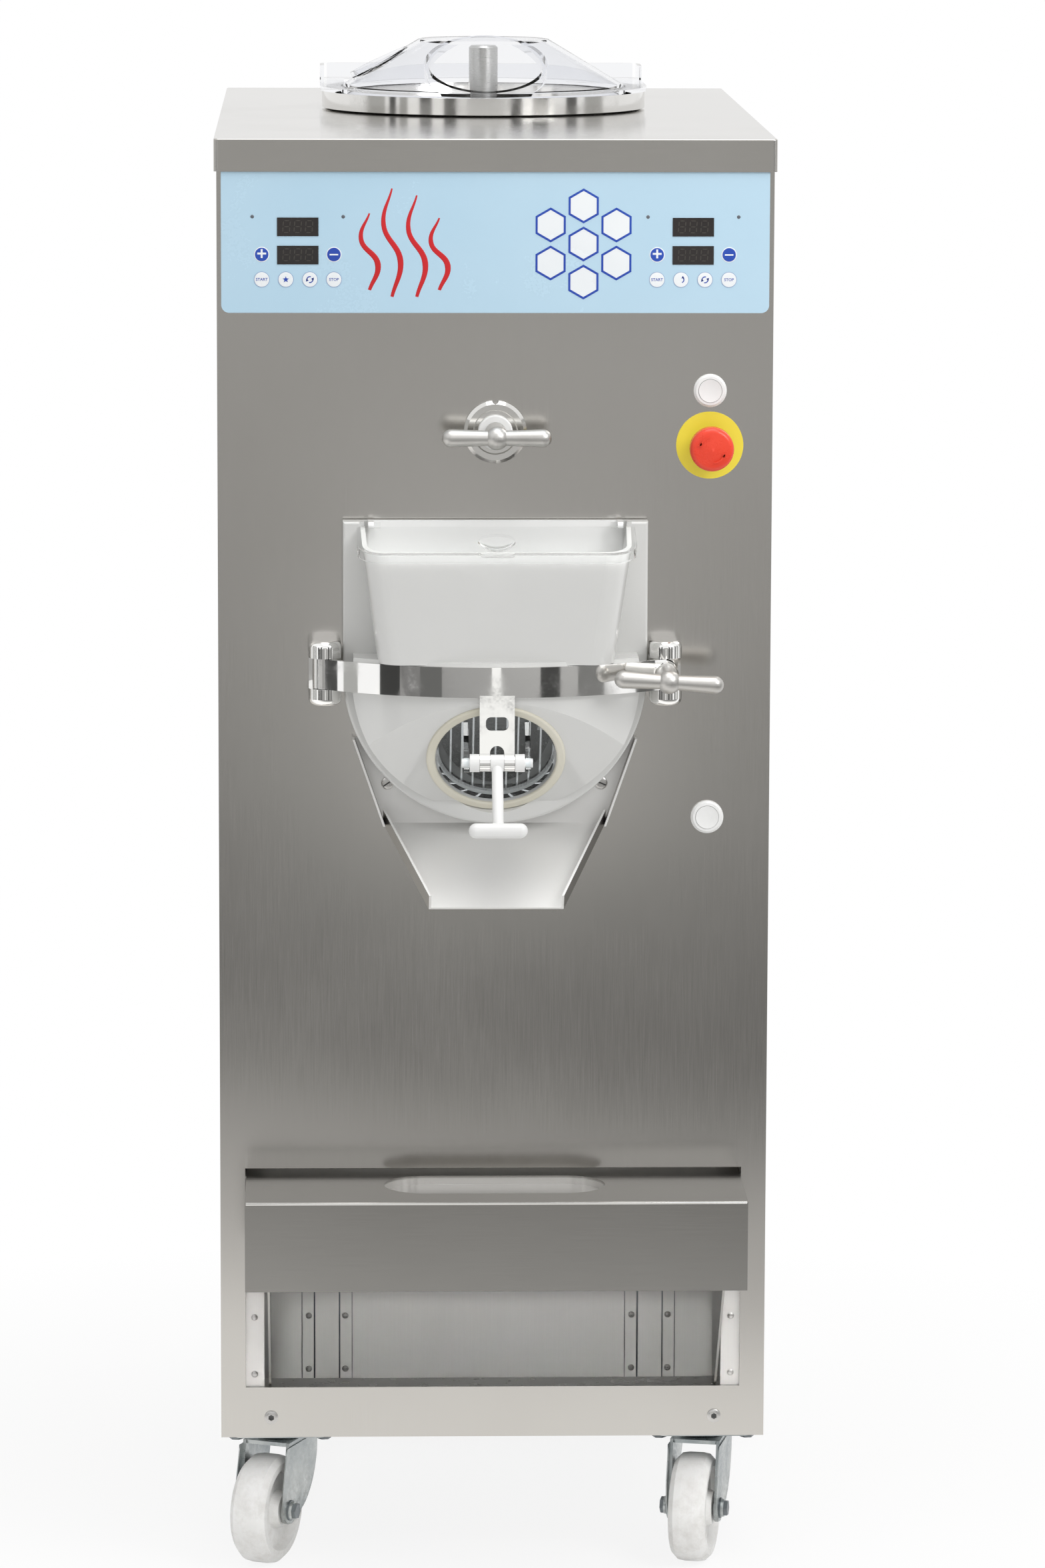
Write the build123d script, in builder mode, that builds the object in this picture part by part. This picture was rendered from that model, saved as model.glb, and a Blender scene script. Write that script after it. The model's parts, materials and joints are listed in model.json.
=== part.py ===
from build123d import *
import os
from math import atan2, cos, radians, sin, sqrt

os.makedirs("parts", exist_ok=True)

# Combined pasteuriser and batch freezer on castors. Sizes are in millimetres.
# +Z is up, the front faces -Y, and the origin is on the floor under the middle of the overall box.

# Cabinet sheet metal
body_width = 495.0
cover_side = 2.5
cover_depth = 840.0
cover_height = 1306.0
cover_lip = 29.0
cover_overhang = 3.0
cover_corner = 4.0
cover_edge = 1.2
base_height = 125.0
sheet = 2.0
panel_return = 18.0
slot_length = 110.0
slot_width = 6.0
slot_pitch = 22.0

# Chassis
base_plate = 3.0
angle = 3.0
post_leg = 17.0
post_depth = 30.0
rail_depth = 32.0
rail_drop = 30.0
deck_height = 470.0
deck_front = 190.0
deck_back = 630.0

# Clearances
running = 0.05
seat_gap = 0.3
loose = 0.6

# Niche and tub shelf
niche_half = 225.0
niche_bottom = 171.5
niche_top = 375.5
niche_depth = 170.0
runner_width = 16.0
strip_width = 18.0
rib_centre = 151.0
rib_width = 22.0
rib_rise = 6.0
rib_flange = 12.0
rib_foot = 1.2
shelf_half = 224.0
shelf_reach = 120.0
shelf_tail = 35.0
shelf_top = 370.0
apron_height = 81.0
gusset_inset = 20.0
recess_length = 199.0
recess_width = 73.0
recess_depth = 8.0
recess_reach = 45.0

# Control film, displays and push buttons
film_width = 487.0
film_height = 125.0
film_corner = 7.0
film = 0.6
display_width = 36.7
display_height = 16.5
display_x = 175.5
display_drops = (48.7, 73.7)
display_rise = 0.5
control_x = 191.5
upper_button_z = 1082.7
lower_button_z = 698.0
bezel_radius = 14.75
bezel_rise = 5.0
button_radius = 10.3
button_stem = 4.0
button_travel = 2.5
control_hole = 11.15
barrel_radius = 11.0
barrel_depth = 20.0
stop_z = 1033.8
stop_plate_radius = 30.0
stop_plate = 1.5
stop_head_radius = 19.5
stop_head_reach = 44.0
stop_stem = 8.0
stop_travel = 4.0

# T-handles, shared by the transfer valve and the door clamp
handle_half = 48.5
handle_end = 8.0
handle_neck = 6.4
handle_ball = 10.5
hub_radius = 9.5

# Transfer valve
valve_z = 1046.0
valve_handle_reach = 58.0
escutcheon_radius = 28.0
escutcheon_rise = 8.0
spindle = 6.0
valve_depth = 205.0
valve_length = 50.0
valve_radius = 34.0
pipe_radius = 20.0
pipe_wall = 2.0

# Pasteurising tank, lid and agitator
tank_depth = 474.0
tank_radius = 139.0
tank_wall = 2.0
tank_bottom = 1026.0
tank_corner = 22.0
flange_radius = 150.0
collar_radius = 154.0
collar_rise = 18.0
heater_low = 1085.0
heater_high = 1185.0
heater = 6.0
lid_radius = 156.0
lid_plate = 4.0
lid_wall = 3.0
lid_back = 150.0
lid_corner = 18.0
lid_rise = 66.0
lid_upstand = 36.0
dome_foot = 136.0
dome_crown = 62.0
port_tilt = 25.0
port_rise = 47.0
front_port = 58.0
side_port = 31.0
port_wall = 4.0
lid_hinge_x = 110.0
lid_barrel = 6.0
lid_barrel_half = 10.0
lid_pin = 3.0
column_radius = 13.75
column_rise = 60.0
agitator_shaft = 8.0
paddle_reach = 130.0
paddle_height = 150.0
paddle_bar = 14.0
paddle = 8.0

# Freezing cylinder, beater and drive
axis_z = 831.5
bore_radius = 105.0
cylinder_wall = 4.0
cylinder_length = 350.0
flange_width = 11.0
flange_rise = 3.0
insulation = 39.0
beater_shaft = 15.0
blade_inset = 8.0
blade_width = 20.0
blade = 5.0
scraper_gap = 0.6
bearing_radius = 45.0
bearing_length = 40.0
pulley_depth = 432.0
pulley_width = 34.0
driven_radius = 108.0
motor_pulley_radius = 42.0
belt = 8.0
motor_z = 575.0
motor_radius = 82.0
motor_front = 170.0
motor_length = 240.0
motor_shaft = 14.0

# Cooling unit
compressor_depth = 330.0
compressor_radius = 105.0
compressor_height = 260.0
condenser_half = 175.0
condenser_low = 150.0
condenser_high = 480.0
condenser_depth = 705.0
condenser_thick = 60.0
fin_count = 22
fin = 1.5
fan_radius = 130.0
fan_hub = 32.0
fan_blades = 5

# Freezer door, hopper and outlet
door_margin = 31.0
door_gap = 4.0
door_plate = 18.0
door_edge = 2.5
spigot_gap = 3.0
spigot_depth = 6.0
bulge_margin = 23.0
outlet_tilt = 34.4
outlet_stand = 16.97
outlet_margin = 5.34
outlet_radius = 54.0
outlet_depth = 55.0
outlet_edge = 8.0
ring_width = 8.0
ring_rise = 2.5
hopper_floor = 6.0
hopper_wall = 4.0
hopper_margin = 15.5
hopper_flare = 15.5
hopper_top_reach = 95.0
hopper_low_reach = 81.0
hopper_corner = 22.0
hopper_rim_drop = 4.5
hopper_rim_fall = 16.5
inlet_width = 120.0
inlet_height = 34.0
hopper_lid = 3.0
hopper_lid_lip = 7.0
scoop_radius = 17.8
scoop_depth = 10.0
scoop_wall = 2.0
tab_width = 30.0
tab_reach = 5.0
seal_offset = 7.0
seal_width = 8.0
grille_pitch = 10.0
grille_bar = 1.6
grille_depth = 3.0
grille_inset = 16.0

# Door strap, brackets and outlet lever
strap_gap = 0.4
strap_thick = 4.5
strap_height = 27.0
strap_end_reach = 40.0
bracket_gap = 1.5
bracket_half = 14.5
bracket_height = 58.0
bracket_plate = 6.0
bracket_round = 6.0
hinge_reach = 27.0
hinge_pin = 5.0
eye_radius = 11.0
clamp_stand = 41.0
clamp_tilt = -3.5
boss_face = 0.6
boss_back = 30.0
nut_reach = 25.0
nut_half = 11.0
shank_tip = 16.0
tongue_half = 15.5
window_width = 20.0
window_height = 12.0
window_corner = 4.5
lever_pin_stand = 3.0
lever_pin_lift = 2.0
lever_pin = 4.0
knuckle_radius = 7.5
lever_slot = 6.0
collar_outer = 24.3
collar_ring = 8.0
lever_throw = 43.0
lever_drop = 53.5
lever_bar_half = 26.0
lever_bar_radius = 6.75
lever_rod = 5.0
lug_inner = 25.0
lug_thick = 4.5
lug_radius = 8.5
gate_gap = 1.5
gate_thick = 8.0
gate_inset = 2.0
gate_travel = 10.0

# Chute
chute_rise = 79.0
chute_drop = 3.5
chute_fall = 64.0
chute_lip_reach = 80.0
chute_side = 5.7
chute_bend_half = 100.0
chute_lip_half = 60.0
chute_flange = 18.0

# Castors
castor_x = 194.0
castor_inset = 62.0
castor_trail = 33.0
castor_yaw = {"front_left": -23.0, "front_right": -13.0, "rear_left": -18.0, "rear_right": 12.0}
castor_plate = 4.0
castor_plate_length = 100.0
castor_plate_width = 84.0
wheel_radius = 50.0
wheel_width = 36.0
wheel_hub = 15.0
wheel_axle = 5.0
fork_gap = 40.0
fork_cheek = 3.0
fork_crown = 3.5
race_radius = 27.0
race_height = 8.0
kingpin = 6.0

# Places worked out from the sizes above
shell_radius = bore_radius + cylinder_wall
cylinder_flange = shell_radius + flange_width
insulation_radius = shell_radius + insulation
scraper_reach = bore_radius - scraper_gap
blade_reach = bore_radius - blade_inset
spigot_radius = bore_radius - spigot_gap
seal_radius = bore_radius + seal_offset
bulge_radius = bore_radius + bulge_margin
door_half = bore_radius + door_margin
door_top = axis_z + door_half
hopper_rear_z = door_top - hopper_rim_drop
hopper_front_z = hopper_rear_z - hopper_rim_fall
hopper_top_half = door_half - hopper_margin
hopper_low_half = hopper_top_half - hopper_flare
bracket_x = door_half + bracket_gap + bracket_half
chute_bend_z = axis_z - door_half - chute_drop
chute_top_z = chute_bend_z + chute_rise
chute_lip_z = chute_bend_z - chute_fall
chute_top_half = sqrt(door_half**2 - (axis_z - chute_top_z) ** 2) + chute_side
ring_radius = outlet_radius + ring_width
tilt = radians(outlet_tilt)
outlet_reach = outlet_stand + ring_radius * sin(tilt)
outlet_z = axis_z - bulge_radius + outlet_margin + ring_radius * cos(tilt)
strap_reach = outlet_reach + ring_radius * sin(tilt) + ring_rise * cos(tilt) + strap_gap + strap_thick
strap_drop = strap_reach - strap_end_reach
strap_radius = (bracket_x**2 + strap_drop**2) / (2 * strap_drop)
strap_centre = strap_reach - strap_radius
strap_inner = strap_radius - strap_thick
boss_reach = strap_centre + sqrt(strap_radius**2 - (bracket_x - eye_radius) ** 2) + boss_face
boss_depth = boss_reach - boss_back
clamp_reach = boss_reach + clamp_stand
lever_pin_reach = strap_reach + lever_pin_stand
lever_pin_z = outlet_z + lever_pin_lift
lever_reach = lever_pin_reach + lever_throw
lever_bar_z = lever_pin_z - lever_drop
gate_radius = outlet_radius - gate_gap
body_half = body_width / 2
cover_width = body_width + 2 * cover_side
inner_half = body_half - sheet
front_reach = lever_reach + lever_bar_radius
front_y = -(cover_depth - cover_overhang - front_reach) / 2
rear_y = front_y + cover_depth - 2 * cover_overhang
panel_top = cover_height - sheet
base_top = base_height + base_plate
tank_y = front_y + tank_depth
lid_low = cover_height + collar_rise
lid_high = lid_low + lid_plate
lid_hinge_y = tank_y + lid_back + lid_barrel + 2
lid_hinge_z = lid_low - lid_barrel
strap_low = axis_z + 1.5 - strap_height / 2
strap_high = strap_low + strap_height
strap_mid = (strap_low + strap_high) / 2
hopper_low = strap_high + seat_gap


# Y of a point that far in front of the front panel's face
def out(reach):
    return front_y - reach


# Y of a point that far behind the front panel's face
def back(depth):
    return front_y + depth


# A plane parallel to the front panel and facing the viewer
def front_plane(reach):
    return Plane.XZ.offset(reach - front_y)


# A box between two limits on each axis
def block(x, y, z, mode=Mode.ADD):
    with Locations((sum(x) / 2, sum(y) / 2, sum(z) / 2)):
        Box(abs(x[1] - x[0]), abs(y[1] - y[0]), abs(z[1] - z[0]), mode=mode)


# A closed profile of (along the axis, radius) points, turned about the axis
def turn(profile, centre, axis, mode=Mode.ADD):
    side = Vector(0, -1, 0) if axis == (0, 0, 1) else Vector(*axis).cross(Vector(0, 0, 1))
    with BuildSketch(Plane(origin=centre, x_dir=axis, z_dir=side)) as section:
        with BuildLine():
            Polyline(*profile, close=True)
        make_face()
    revolve(section.sketch, axis=Axis(centre, axis), mode=mode)


# A straight-sided outline, drawn on a plane and pulled out along its normal
def plate(plane, points, thick, mode=Mode.ADD):
    with BuildSketch(plane) as outline:
        with BuildLine():
            Polyline(*points, close=True)
        make_face()
    extrude(outline.sketch, amount=thick, mode=mode)


# Names a finished piece and writes it
def keep(piece, name):
    piece.part.label = name
    export_step(piece.part, f"parts/{name}.step")


# Chassis: base plate with its front rail, corner posts and the motor deck
with BuildPart() as chassis:
    block((-inner_half, inner_half), (back(sheet), rear_y - sheet), (base_height, base_top))
    rail_back = back(sheet + rail_depth)
    block((-niche_half, niche_half), (back(sheet), rail_back), (base_top, niche_bottom))
    rail_core = (back(sheet + angle), rail_back - angle)
    block((-niche_half, niche_half), rail_core, (base_top, niche_bottom - angle), Mode.SUBTRACT)
    for side in (-1, 1):
        leg = (side * inner_half, side * (inner_half - post_leg))
        web = (side * inner_half, side * (inner_half - angle))
        for face_y, inward in ((back(sheet), 1), (rear_y - sheet, -1)):
            block(leg, (face_y, face_y + inward * angle), (base_top, panel_top))
            block(web, (face_y, face_y + inward * post_depth), (base_top, panel_top))
        rail = (deck_height - rail_drop, deck_height + angle)
        block(web, (back(sheet), rear_y - sheet), rail)
    block((-inner_half, inner_half), (back(deck_front), back(deck_back)), (deck_height, deck_height + angle))
keep(chassis, "chassis")

# Front panel with its returns, niche opening, cylinder mouth and control holes
with BuildPart() as front_panel:
    with BuildSketch(front_plane(-sheet)):
        with Locations((0, (base_height + panel_top) / 2)):
            Rectangle(body_width, panel_top - base_height)
        with Locations((0, (niche_bottom + niche_top) / 2)):
            Rectangle(2 * niche_half, niche_top - niche_bottom, mode=Mode.SUBTRACT)
        with Locations((0, axis_z)):
            Circle(bore_radius + cylinder_wall + seat_gap, mode=Mode.SUBTRACT)
        with Locations((0, valve_z)):
            Circle(spindle + loose, mode=Mode.SUBTRACT)
        with Locations(*[(control_x, z) for z in (upper_button_z, lower_button_z, stop_z)]):
            Circle(control_hole, mode=Mode.SUBTRACT)
    extrude(amount=sheet)
    for side in (-1, 1):
        edge = (side * body_half, side * inner_half)
        block(edge, (back(sheet), back(panel_return)), (base_height, panel_top))
keep(front_panel, "front_panel")

# Side panels, slotted low down for the cooling air
with BuildPart() as side_panels:
    for side in (-1, 1):
        wall = (side * body_half, side * inner_half)
        block(wall, (back(panel_return), rear_y - panel_return), (base_height, panel_top))
    with BuildSketch(Plane.YZ.offset(-body_half)):
        with Locations((rear_y - panel_return - 150, (condenser_low + condenser_high) / 2)):
            with GridLocations(0, slot_pitch, 1, 9):
                SlotOverall(slot_length, slot_width)
    extrude(amount=body_width, mode=Mode.SUBTRACT)
keep(side_panels, "side_panels")

# Rear panel with its returns and two columns of air slots
with BuildPart() as rear_panel:
    with BuildSketch(Plane.XZ.offset(-rear_y)):
        with Locations((0, (base_height + panel_top) / 2)):
            Rectangle(body_width, panel_top - base_height)
        with Locations((0, (condenser_low + condenser_high) / 2)):
            with GridLocations(slot_length + 40, slot_pitch, 2, 13):
                SlotOverall(slot_length, slot_width, mode=Mode.SUBTRACT)
    extrude(amount=sheet)
    for side in (-1, 1):
        edge = (side * body_half, side * inner_half)
        block(edge, (rear_y - panel_return, rear_y - sheet), (base_height, panel_top))
keep(rear_panel, "rear_panel")

# Top cover: a shallow tray turned over, holed for the tank
with BuildPart() as top_cover:
    cover_mid = (out(cover_overhang) + rear_y + cover_overhang) / 2
    with BuildSketch(Plane.XY.offset(cover_height - cover_lip)):
        with Locations((0, cover_mid)):
            RectangleRounded(cover_width, cover_depth, cover_corner)
    extrude(amount=cover_lip)
    fillet(top_cover.faces().sort_by(Axis.Z)[-1].edges(), cover_edge)
    with BuildSketch(Plane.XY.offset(cover_height - cover_lip)):
        with Locations((0, cover_mid)):
            Rectangle(cover_width - 2 * sheet, cover_depth - 2 * sheet)
    extrude(amount=cover_lip - sheet, mode=Mode.SUBTRACT)
    with BuildSketch(Plane.XY.offset(cover_height - sheet)):
        with Locations((0, tank_y)):
            Circle(tank_radius + tank_wall + seat_gap)
    extrude(amount=sheet, mode=Mode.SUBTRACT)
keep(top_cover, "top_cover")

# Pasteurising tank with its polished rim and the outlet stub at the front
with BuildPart() as tank:
    tank_outer = tank_radius + tank_wall
    with BuildSketch(Plane.XZ.offset(-tank_y)) as tank_section:
        with BuildLine():
            Polyline(
                (agitator_shaft + running, tank_bottom - tank_wall),
                (tank_outer, tank_bottom - tank_wall),
                (tank_outer, cover_height),
                (flange_radius, cover_height),
                (collar_radius, cover_height + tank_wall),
                (collar_radius, lid_low - seat_gap),
                (collar_radius - 2 * tank_wall, lid_low - seat_gap),
                (flange_radius - tank_wall, cover_height + tank_wall),
                (tank_radius, cover_height + tank_wall),
                (tank_radius, tank_bottom),
                (agitator_shaft + running, tank_bottom),
                close=True,
            )
        make_face()
        low = tank_section.vertices().sort_by(Axis.Y)[:4].sort_by(Axis.X)
        fillet(low[-1], tank_corner + tank_wall)
        inner = tank_section.vertices().filter_by_position(Axis.Y, tank_bottom - 1e-3, tank_bottom + 1e-3)
        fillet(inner.sort_by(Axis.X)[-1], tank_corner)
    revolve(axis=Axis((0, tank_y, 0), (0, 0, 1)))
    stub_front = valve_depth + valve_length
    stub_back = tank_depth - sqrt(tank_outer**2 - pipe_radius**2) + tank_wall / 2
    with BuildSketch(front_plane(-stub_back)):
        with Locations((0, valve_z)):
            Circle(pipe_radius)
    extrude(amount=stub_back - stub_front)
    with BuildSketch(front_plane(-tank_depth)):
        with Locations((0, valve_z)):
            Circle(pipe_radius - pipe_wall)
    extrude(amount=tank_depth - stub_front, mode=Mode.SUBTRACT)
keep(tank, "tank")

# Band heater round the tank
with BuildPart() as tank_heater:
    heater_inner = tank_outer + seat_gap / 2
    turn(
        [
            (heater_low, heater_inner),
            (heater_low, heater_inner + heater),
            (heater_high, heater_inner + heater),
            (heater_high, heater_inner),
        ],
        (0, tank_y, 0),
        (0, 0, 1),
    )
keep(tank_heater, "tank_heater")

# Agitator motor under the tank
with BuildPart() as agitator_motor:
    motor_face = tank_bottom - tank_wall
    turn(
        [
            (motor_face, agitator_shaft + running),
            (motor_face, 48),
            (motor_face - 10, 48),
            (motor_face - 10, 40),
            (motor_face - 62, 40),
            (motor_face - 66, 30),
            (motor_face - 66, agitator_shaft + running),
        ],
        (0, tank_y, 0),
        (0, 0, 1),
    )
keep(agitator_motor, "agitator_motor")

# Agitator: column, drive shaft and an anchor paddle
with BuildPart() as agitator:
    paddle_low = tank_bottom + 4
    column_top = cover_height + column_rise
    turn(
        [
            (motor_face - 60, 0),
            (motor_face - 60, agitator_shaft),
            (paddle_low, agitator_shaft),
            (paddle_low, column_radius + 6),
            (paddle_low + 14, column_radius + 6),
            (paddle_low + 22, column_radius),
            (column_top - 2, column_radius),
            (column_top, column_radius - 2),
            (column_top, 0),
        ],
        (0, tank_y, 0),
        (0, 0, 1),
    )
    with BuildSketch(Plane.XZ.offset(-tank_y - paddle / 2)):
        with Locations((0, paddle_low + tank_corner / 4 + paddle_height / 2)):
            RectangleRounded(2 * paddle_reach, paddle_height, tank_corner)
            Rectangle(2 * (paddle_reach - paddle_bar), paddle_height - 2 * paddle_bar, mode=Mode.SUBTRACT)
    extrude(amount=paddle)
keep(agitator, "agitator")

# Tank lid: rim plate, cone, two filling ports, rear upstand and hinge barrels
with BuildPart() as tank_lid:
    crown = cover_height + lid_rise
    turn(
        [(lid_low, 0), (lid_low, dome_foot), (lid_high, dome_foot), (crown, dome_crown), (crown, 0)],
        (0, tank_y, 0),
        (0, 0, 1),
    )
    port_lean = radians(port_tilt)
    port_ring = (dome_foot + dome_crown) / 2
    front_port_plane = Plane(
        origin=(0, tank_y - port_ring, cover_height + port_rise),
        x_dir=(1, 0, 0),
        z_dir=(0, -sin(port_lean), cos(port_lean)),
    )
    side_port_plane = Plane(
        origin=(-port_ring, tank_y, cover_height + port_rise),
        x_dir=(0, 1, 0),
        z_dir=(-sin(port_lean), 0, cos(port_lean)),
    )
    for port_plane, radius in ((front_port_plane, front_port), (side_port_plane, side_port)):
        with BuildSketch(port_plane):
            Circle(radius)
        extrude(amount=-lid_rise)
    under = (cover_height - lid_rise, lid_low)
    span = 2 * lid_radius
    block((-span, span), (tank_y - span, tank_y + span), under, Mode.SUBTRACT)
    with BuildSketch(Plane.XY.offset(lid_low)) as rim:
        with Locations((0, tank_y)):
            Circle(lid_radius)
        with Locations((0, tank_y + lid_back / 2)):
            Rectangle(2 * lid_radius, lid_back)
        fillet(rim.vertices().group_by(Axis.Y)[-1], lid_corner)
    extrude(amount=lid_plate)
    with BuildSketch(Plane.XY.offset(lid_high)) as wall:
        with Locations((0, tank_y + lid_back / 2)):
            Rectangle(2 * lid_radius, lid_back)
        fillet(wall.vertices().group_by(Axis.Y)[-1], lid_corner)
        with Locations((0, tank_y + lid_back / 2 - lid_plate)):
            Rectangle(2 * (lid_radius - lid_plate), lid_back, mode=Mode.SUBTRACT)
        with Locations((0, tank_y + lid_back / 2 - 3 * lid_corner)):
            Rectangle(2 * lid_radius, lid_back, mode=Mode.SUBTRACT)
    extrude(amount=lid_upstand - collar_rise - lid_plate)
    turn(
        [
            (lid_low, 0),
            (lid_low, dome_foot - 2 * lid_wall),
            (lid_high, dome_foot - 2 * lid_wall),
            (crown - lid_wall, dome_crown - lid_wall),
            (crown - lid_wall, 0),
        ],
        (0, tank_y, 0),
        (0, 0, 1),
        Mode.SUBTRACT,
    )
    for port_plane, radius in ((front_port_plane, front_port), (side_port_plane, side_port)):
        with BuildSketch(port_plane):
            Circle(radius - port_wall)
        extrude(amount=lid_rise, both=True, mode=Mode.SUBTRACT)
    for side in (-1, 1):
        ends = (side * lid_hinge_x - lid_barrel_half, side * lid_hinge_x + lid_barrel_half)
        block(ends, (tank_y + lid_back - lid_plate, lid_hinge_y), (lid_low - lid_plate, lid_low))
        block(ends, (tank_y + lid_back - lid_plate, tank_y + lid_back), (lid_low, lid_high))
        with BuildSketch(Plane.YZ.offset(ends[0])):
            with Locations((lid_hinge_y, lid_hinge_z)):
                Circle(lid_barrel)
        extrude(amount=2 * lid_barrel_half)
        with BuildSketch(Plane.YZ.offset(ends[0])):
            with Locations((lid_hinge_y, lid_hinge_z)):
                Circle(lid_pin + running)
        extrude(amount=2 * lid_barrel_half, mode=Mode.SUBTRACT)
keep(tank_lid, "tank_lid")

# Lid hinges: two forked blocks on the cover, each with its pin
with BuildPart() as lid_hinges:
    ear = 12.0
    for side in (-1, 1):
        centre_x = side * lid_hinge_x
        for end in (-1, 1):
            inner = centre_x + end * (lid_barrel_half + seat_gap)
            outer = inner + end * ear
            block(
                (inner, outer),
                (lid_hinge_y - lid_barrel, lid_hinge_y + lid_barrel),
                (cover_height, lid_hinge_z),
            )
            with BuildSketch(Plane.YZ.offset(min(inner, outer))):
                with Locations((lid_hinge_y, lid_hinge_z)):
                    Circle(lid_barrel)
            extrude(amount=ear)
        half = lid_barrel_half + seat_gap + ear
        with BuildSketch(Plane.YZ.offset(centre_x - half)):
            with Locations((lid_hinge_y, lid_hinge_z)):
                Circle(lid_pin)
        extrude(amount=2 * half)
keep(lid_hinges, "lid_hinges")

# Control film, printed with the keys, and the four display windows on it
with BuildPart() as control_film:
    film_top = cover_height - cover_lip - seat_gap
    with BuildSketch(front_plane(0)) as film_outline:
        with Locations((0, film_top - film_height / 2)):
            Rectangle(film_width, film_height)
        fillet(film_outline.vertices().group_by(Axis.Y)[0], film_corner)
    extrude(amount=film)
keep(control_film, "control_film")

with BuildPart() as display_windows:
    with BuildSketch(front_plane(film)):
        with Locations(*[(side * display_x, film_top - drop) for side in (-1, 1) for drop in display_drops]):
            Rectangle(display_width, display_height)
    extrude(amount=display_rise)
keep(display_windows, "display_windows")

# Switchgear: the control box behind the film, a contact block behind each control and the stop's collar
with BuildPart() as control_box:
    with BuildSketch(front_plane(-sheet)):
        with Locations((0, film_top - film_height / 2)):
            RectangleRounded(film_width - 90, film_height - 20, 6)
    extrude(amount=-70)
    for z in (upper_button_z, lower_button_z, stop_z):
        with BuildSketch(front_plane(-barrel_depth)):
            with Locations((control_x, z)):
                RectangleRounded(30, 40, 3)
        extrude(amount=-45)
    turn(
        [
            (out(stop_plate), stop_stem + running),
            (out(stop_plate), bezel_radius),
            (out(stop_plate + 8), bezel_radius),
            (out(stop_plate + 12), bezel_radius - 3),
            (out(stop_plate + 12), stop_stem + running),
        ],
        (control_x, 0, stop_z),
        (0, 1, 0),
    )
    with BuildSketch(front_plane(-barrel_depth)):
        with Locations((control_x, stop_z)):
            Circle(barrel_radius)
            Circle(stop_stem + running, mode=Mode.SUBTRACT)
    extrude(amount=barrel_depth + stop_plate)
keep(control_box, "control_box")

# Push button bezels: a rounded ring in front, a barrel through the panel
with BuildPart() as button_bezels:
    for z in (upper_button_z, lower_button_z):
        turn(
            [
                (back(barrel_depth), button_stem + running),
                (back(barrel_depth), barrel_radius),
                (out(0), barrel_radius),
                (out(0), bezel_radius),
                (out(bezel_rise - 2), bezel_radius),
                (out(bezel_rise), bezel_radius - 2),
                (out(bezel_rise), button_radius + loose / 2),
                (out(-seat_gap), button_radius + loose / 2),
                (out(-seat_gap), button_stem + running),
            ],
            (control_x, 0, z),
            (0, 1, 0),
        )
keep(button_bezels, "button_bezels")

# Push button caps, dished in front, each on a stem
for name, z in (("upper_button", upper_button_z), ("lower_button", lower_button_z)):
    with BuildPart() as button:
        with BuildSketch(Plane(origin=(control_x, 0, z), x_dir=(0, 1, 0), z_dir=(1, 0, 0))):
            with BuildLine():
                rim_front = (out(bezel_rise + 0.5), button_radius)
                dish = (out(bezel_rise - 0.7), 0)
                stem_back = back(barrel_depth - button_travel - 1)
                cap_back = out(button_travel)
                ThreePointArc(dish, (out(bezel_rise - 0.4), button_radius / 2), rim_front)
                Polyline(
                    rim_front,
                    (cap_back, button_radius),
                    (cap_back, button_stem),
                    (stem_back, button_stem),
                    (stem_back, 0),
                    dish,
                )
            make_face()
        revolve(axis=Axis((control_x, 0, z), (0, 1, 0)))
    keep(button, name)

# Emergency stop: yellow plate, sliding stem and mushroom head
with BuildPart() as stop_disc:
    with BuildSketch(front_plane(0)):
        with Locations((control_x, stop_z)):
            Circle(stop_plate_radius)
            Circle(barrel_radius + running, mode=Mode.SUBTRACT)
    extrude(amount=stop_plate)
keep(stop_disc, "stop_plate")

with BuildPart() as stop_shaft:
    stem_front = stop_head_reach - 10
    with BuildSketch(front_plane(-barrel_depth + stop_travel + 1)):
        with Locations((control_x, stop_z)):
            Circle(stop_stem)
    extrude(amount=barrel_depth - stop_travel - 1 + stem_front)
keep(stop_shaft, "stop_stem")

with BuildPart() as stop_head:
    head_back = stop_plate + 12 + stop_travel + 1
    turn(
        [
            (out(stop_head_reach), 0),
            (out(stop_head_reach - 2), stop_head_radius),
            (out(head_back + 9), stop_head_radius),
            (out(head_back), stop_head_radius - 5),
            (out(head_back), stop_stem + running),
            (out(stem_front + seat_gap), stop_stem + running),
            (out(stem_front + seat_gap), 0),
        ],
        (control_x, 0, stop_z),
        (0, 1, 0),
    )
    rounded = stop_head.edges().filter_by(GeomType.CIRCLE).group_by(SortBy.RADIUS)[-1]
    fillet(rounded.sort_by(Axis.Y)[0], 5)
keep(stop_head, "stop_head")


# T-handle: two tapered arms with round ends, a centre ball and a hub towards the machine
def t_handle(x, z, reach, hub_end, tilt_degrees):
    lean = radians(tilt_degrees)
    centre = (x, out(reach), z)
    along = (cos(lean), 0, sin(lean))
    for direction in (along, (-along[0], 0, -along[2])):
        with BuildSketch(Plane(origin=centre, x_dir=direction, z_dir=(0, -1, 0))) as arm:
            with BuildLine():
                shoulder = (handle_half - handle_end, handle_end)
                middle = (handle_half - handle_end * (1 - cos(radians(45))), handle_end * sin(radians(45)))
                Line((0, handle_neck), shoulder)
                ThreePointArc(shoulder, middle, (handle_half, 0))
                Polyline((handle_half, 0), (0, 0), (0, handle_neck))
            make_face()
        revolve(arm.sketch, axis=Axis(centre, direction))
    with Locations(centre):
        Sphere(handle_ball)
    turn(
        [
            (out(reach), 0),
            (out(reach), hub_radius - 1.5),
            (out(hub_end + 6), hub_radius),
            (out(hub_end), hub_radius),
            (out(hub_end), 0),
        ],
        (x, 0, z),
        (0, 1, 0),
    )


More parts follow.
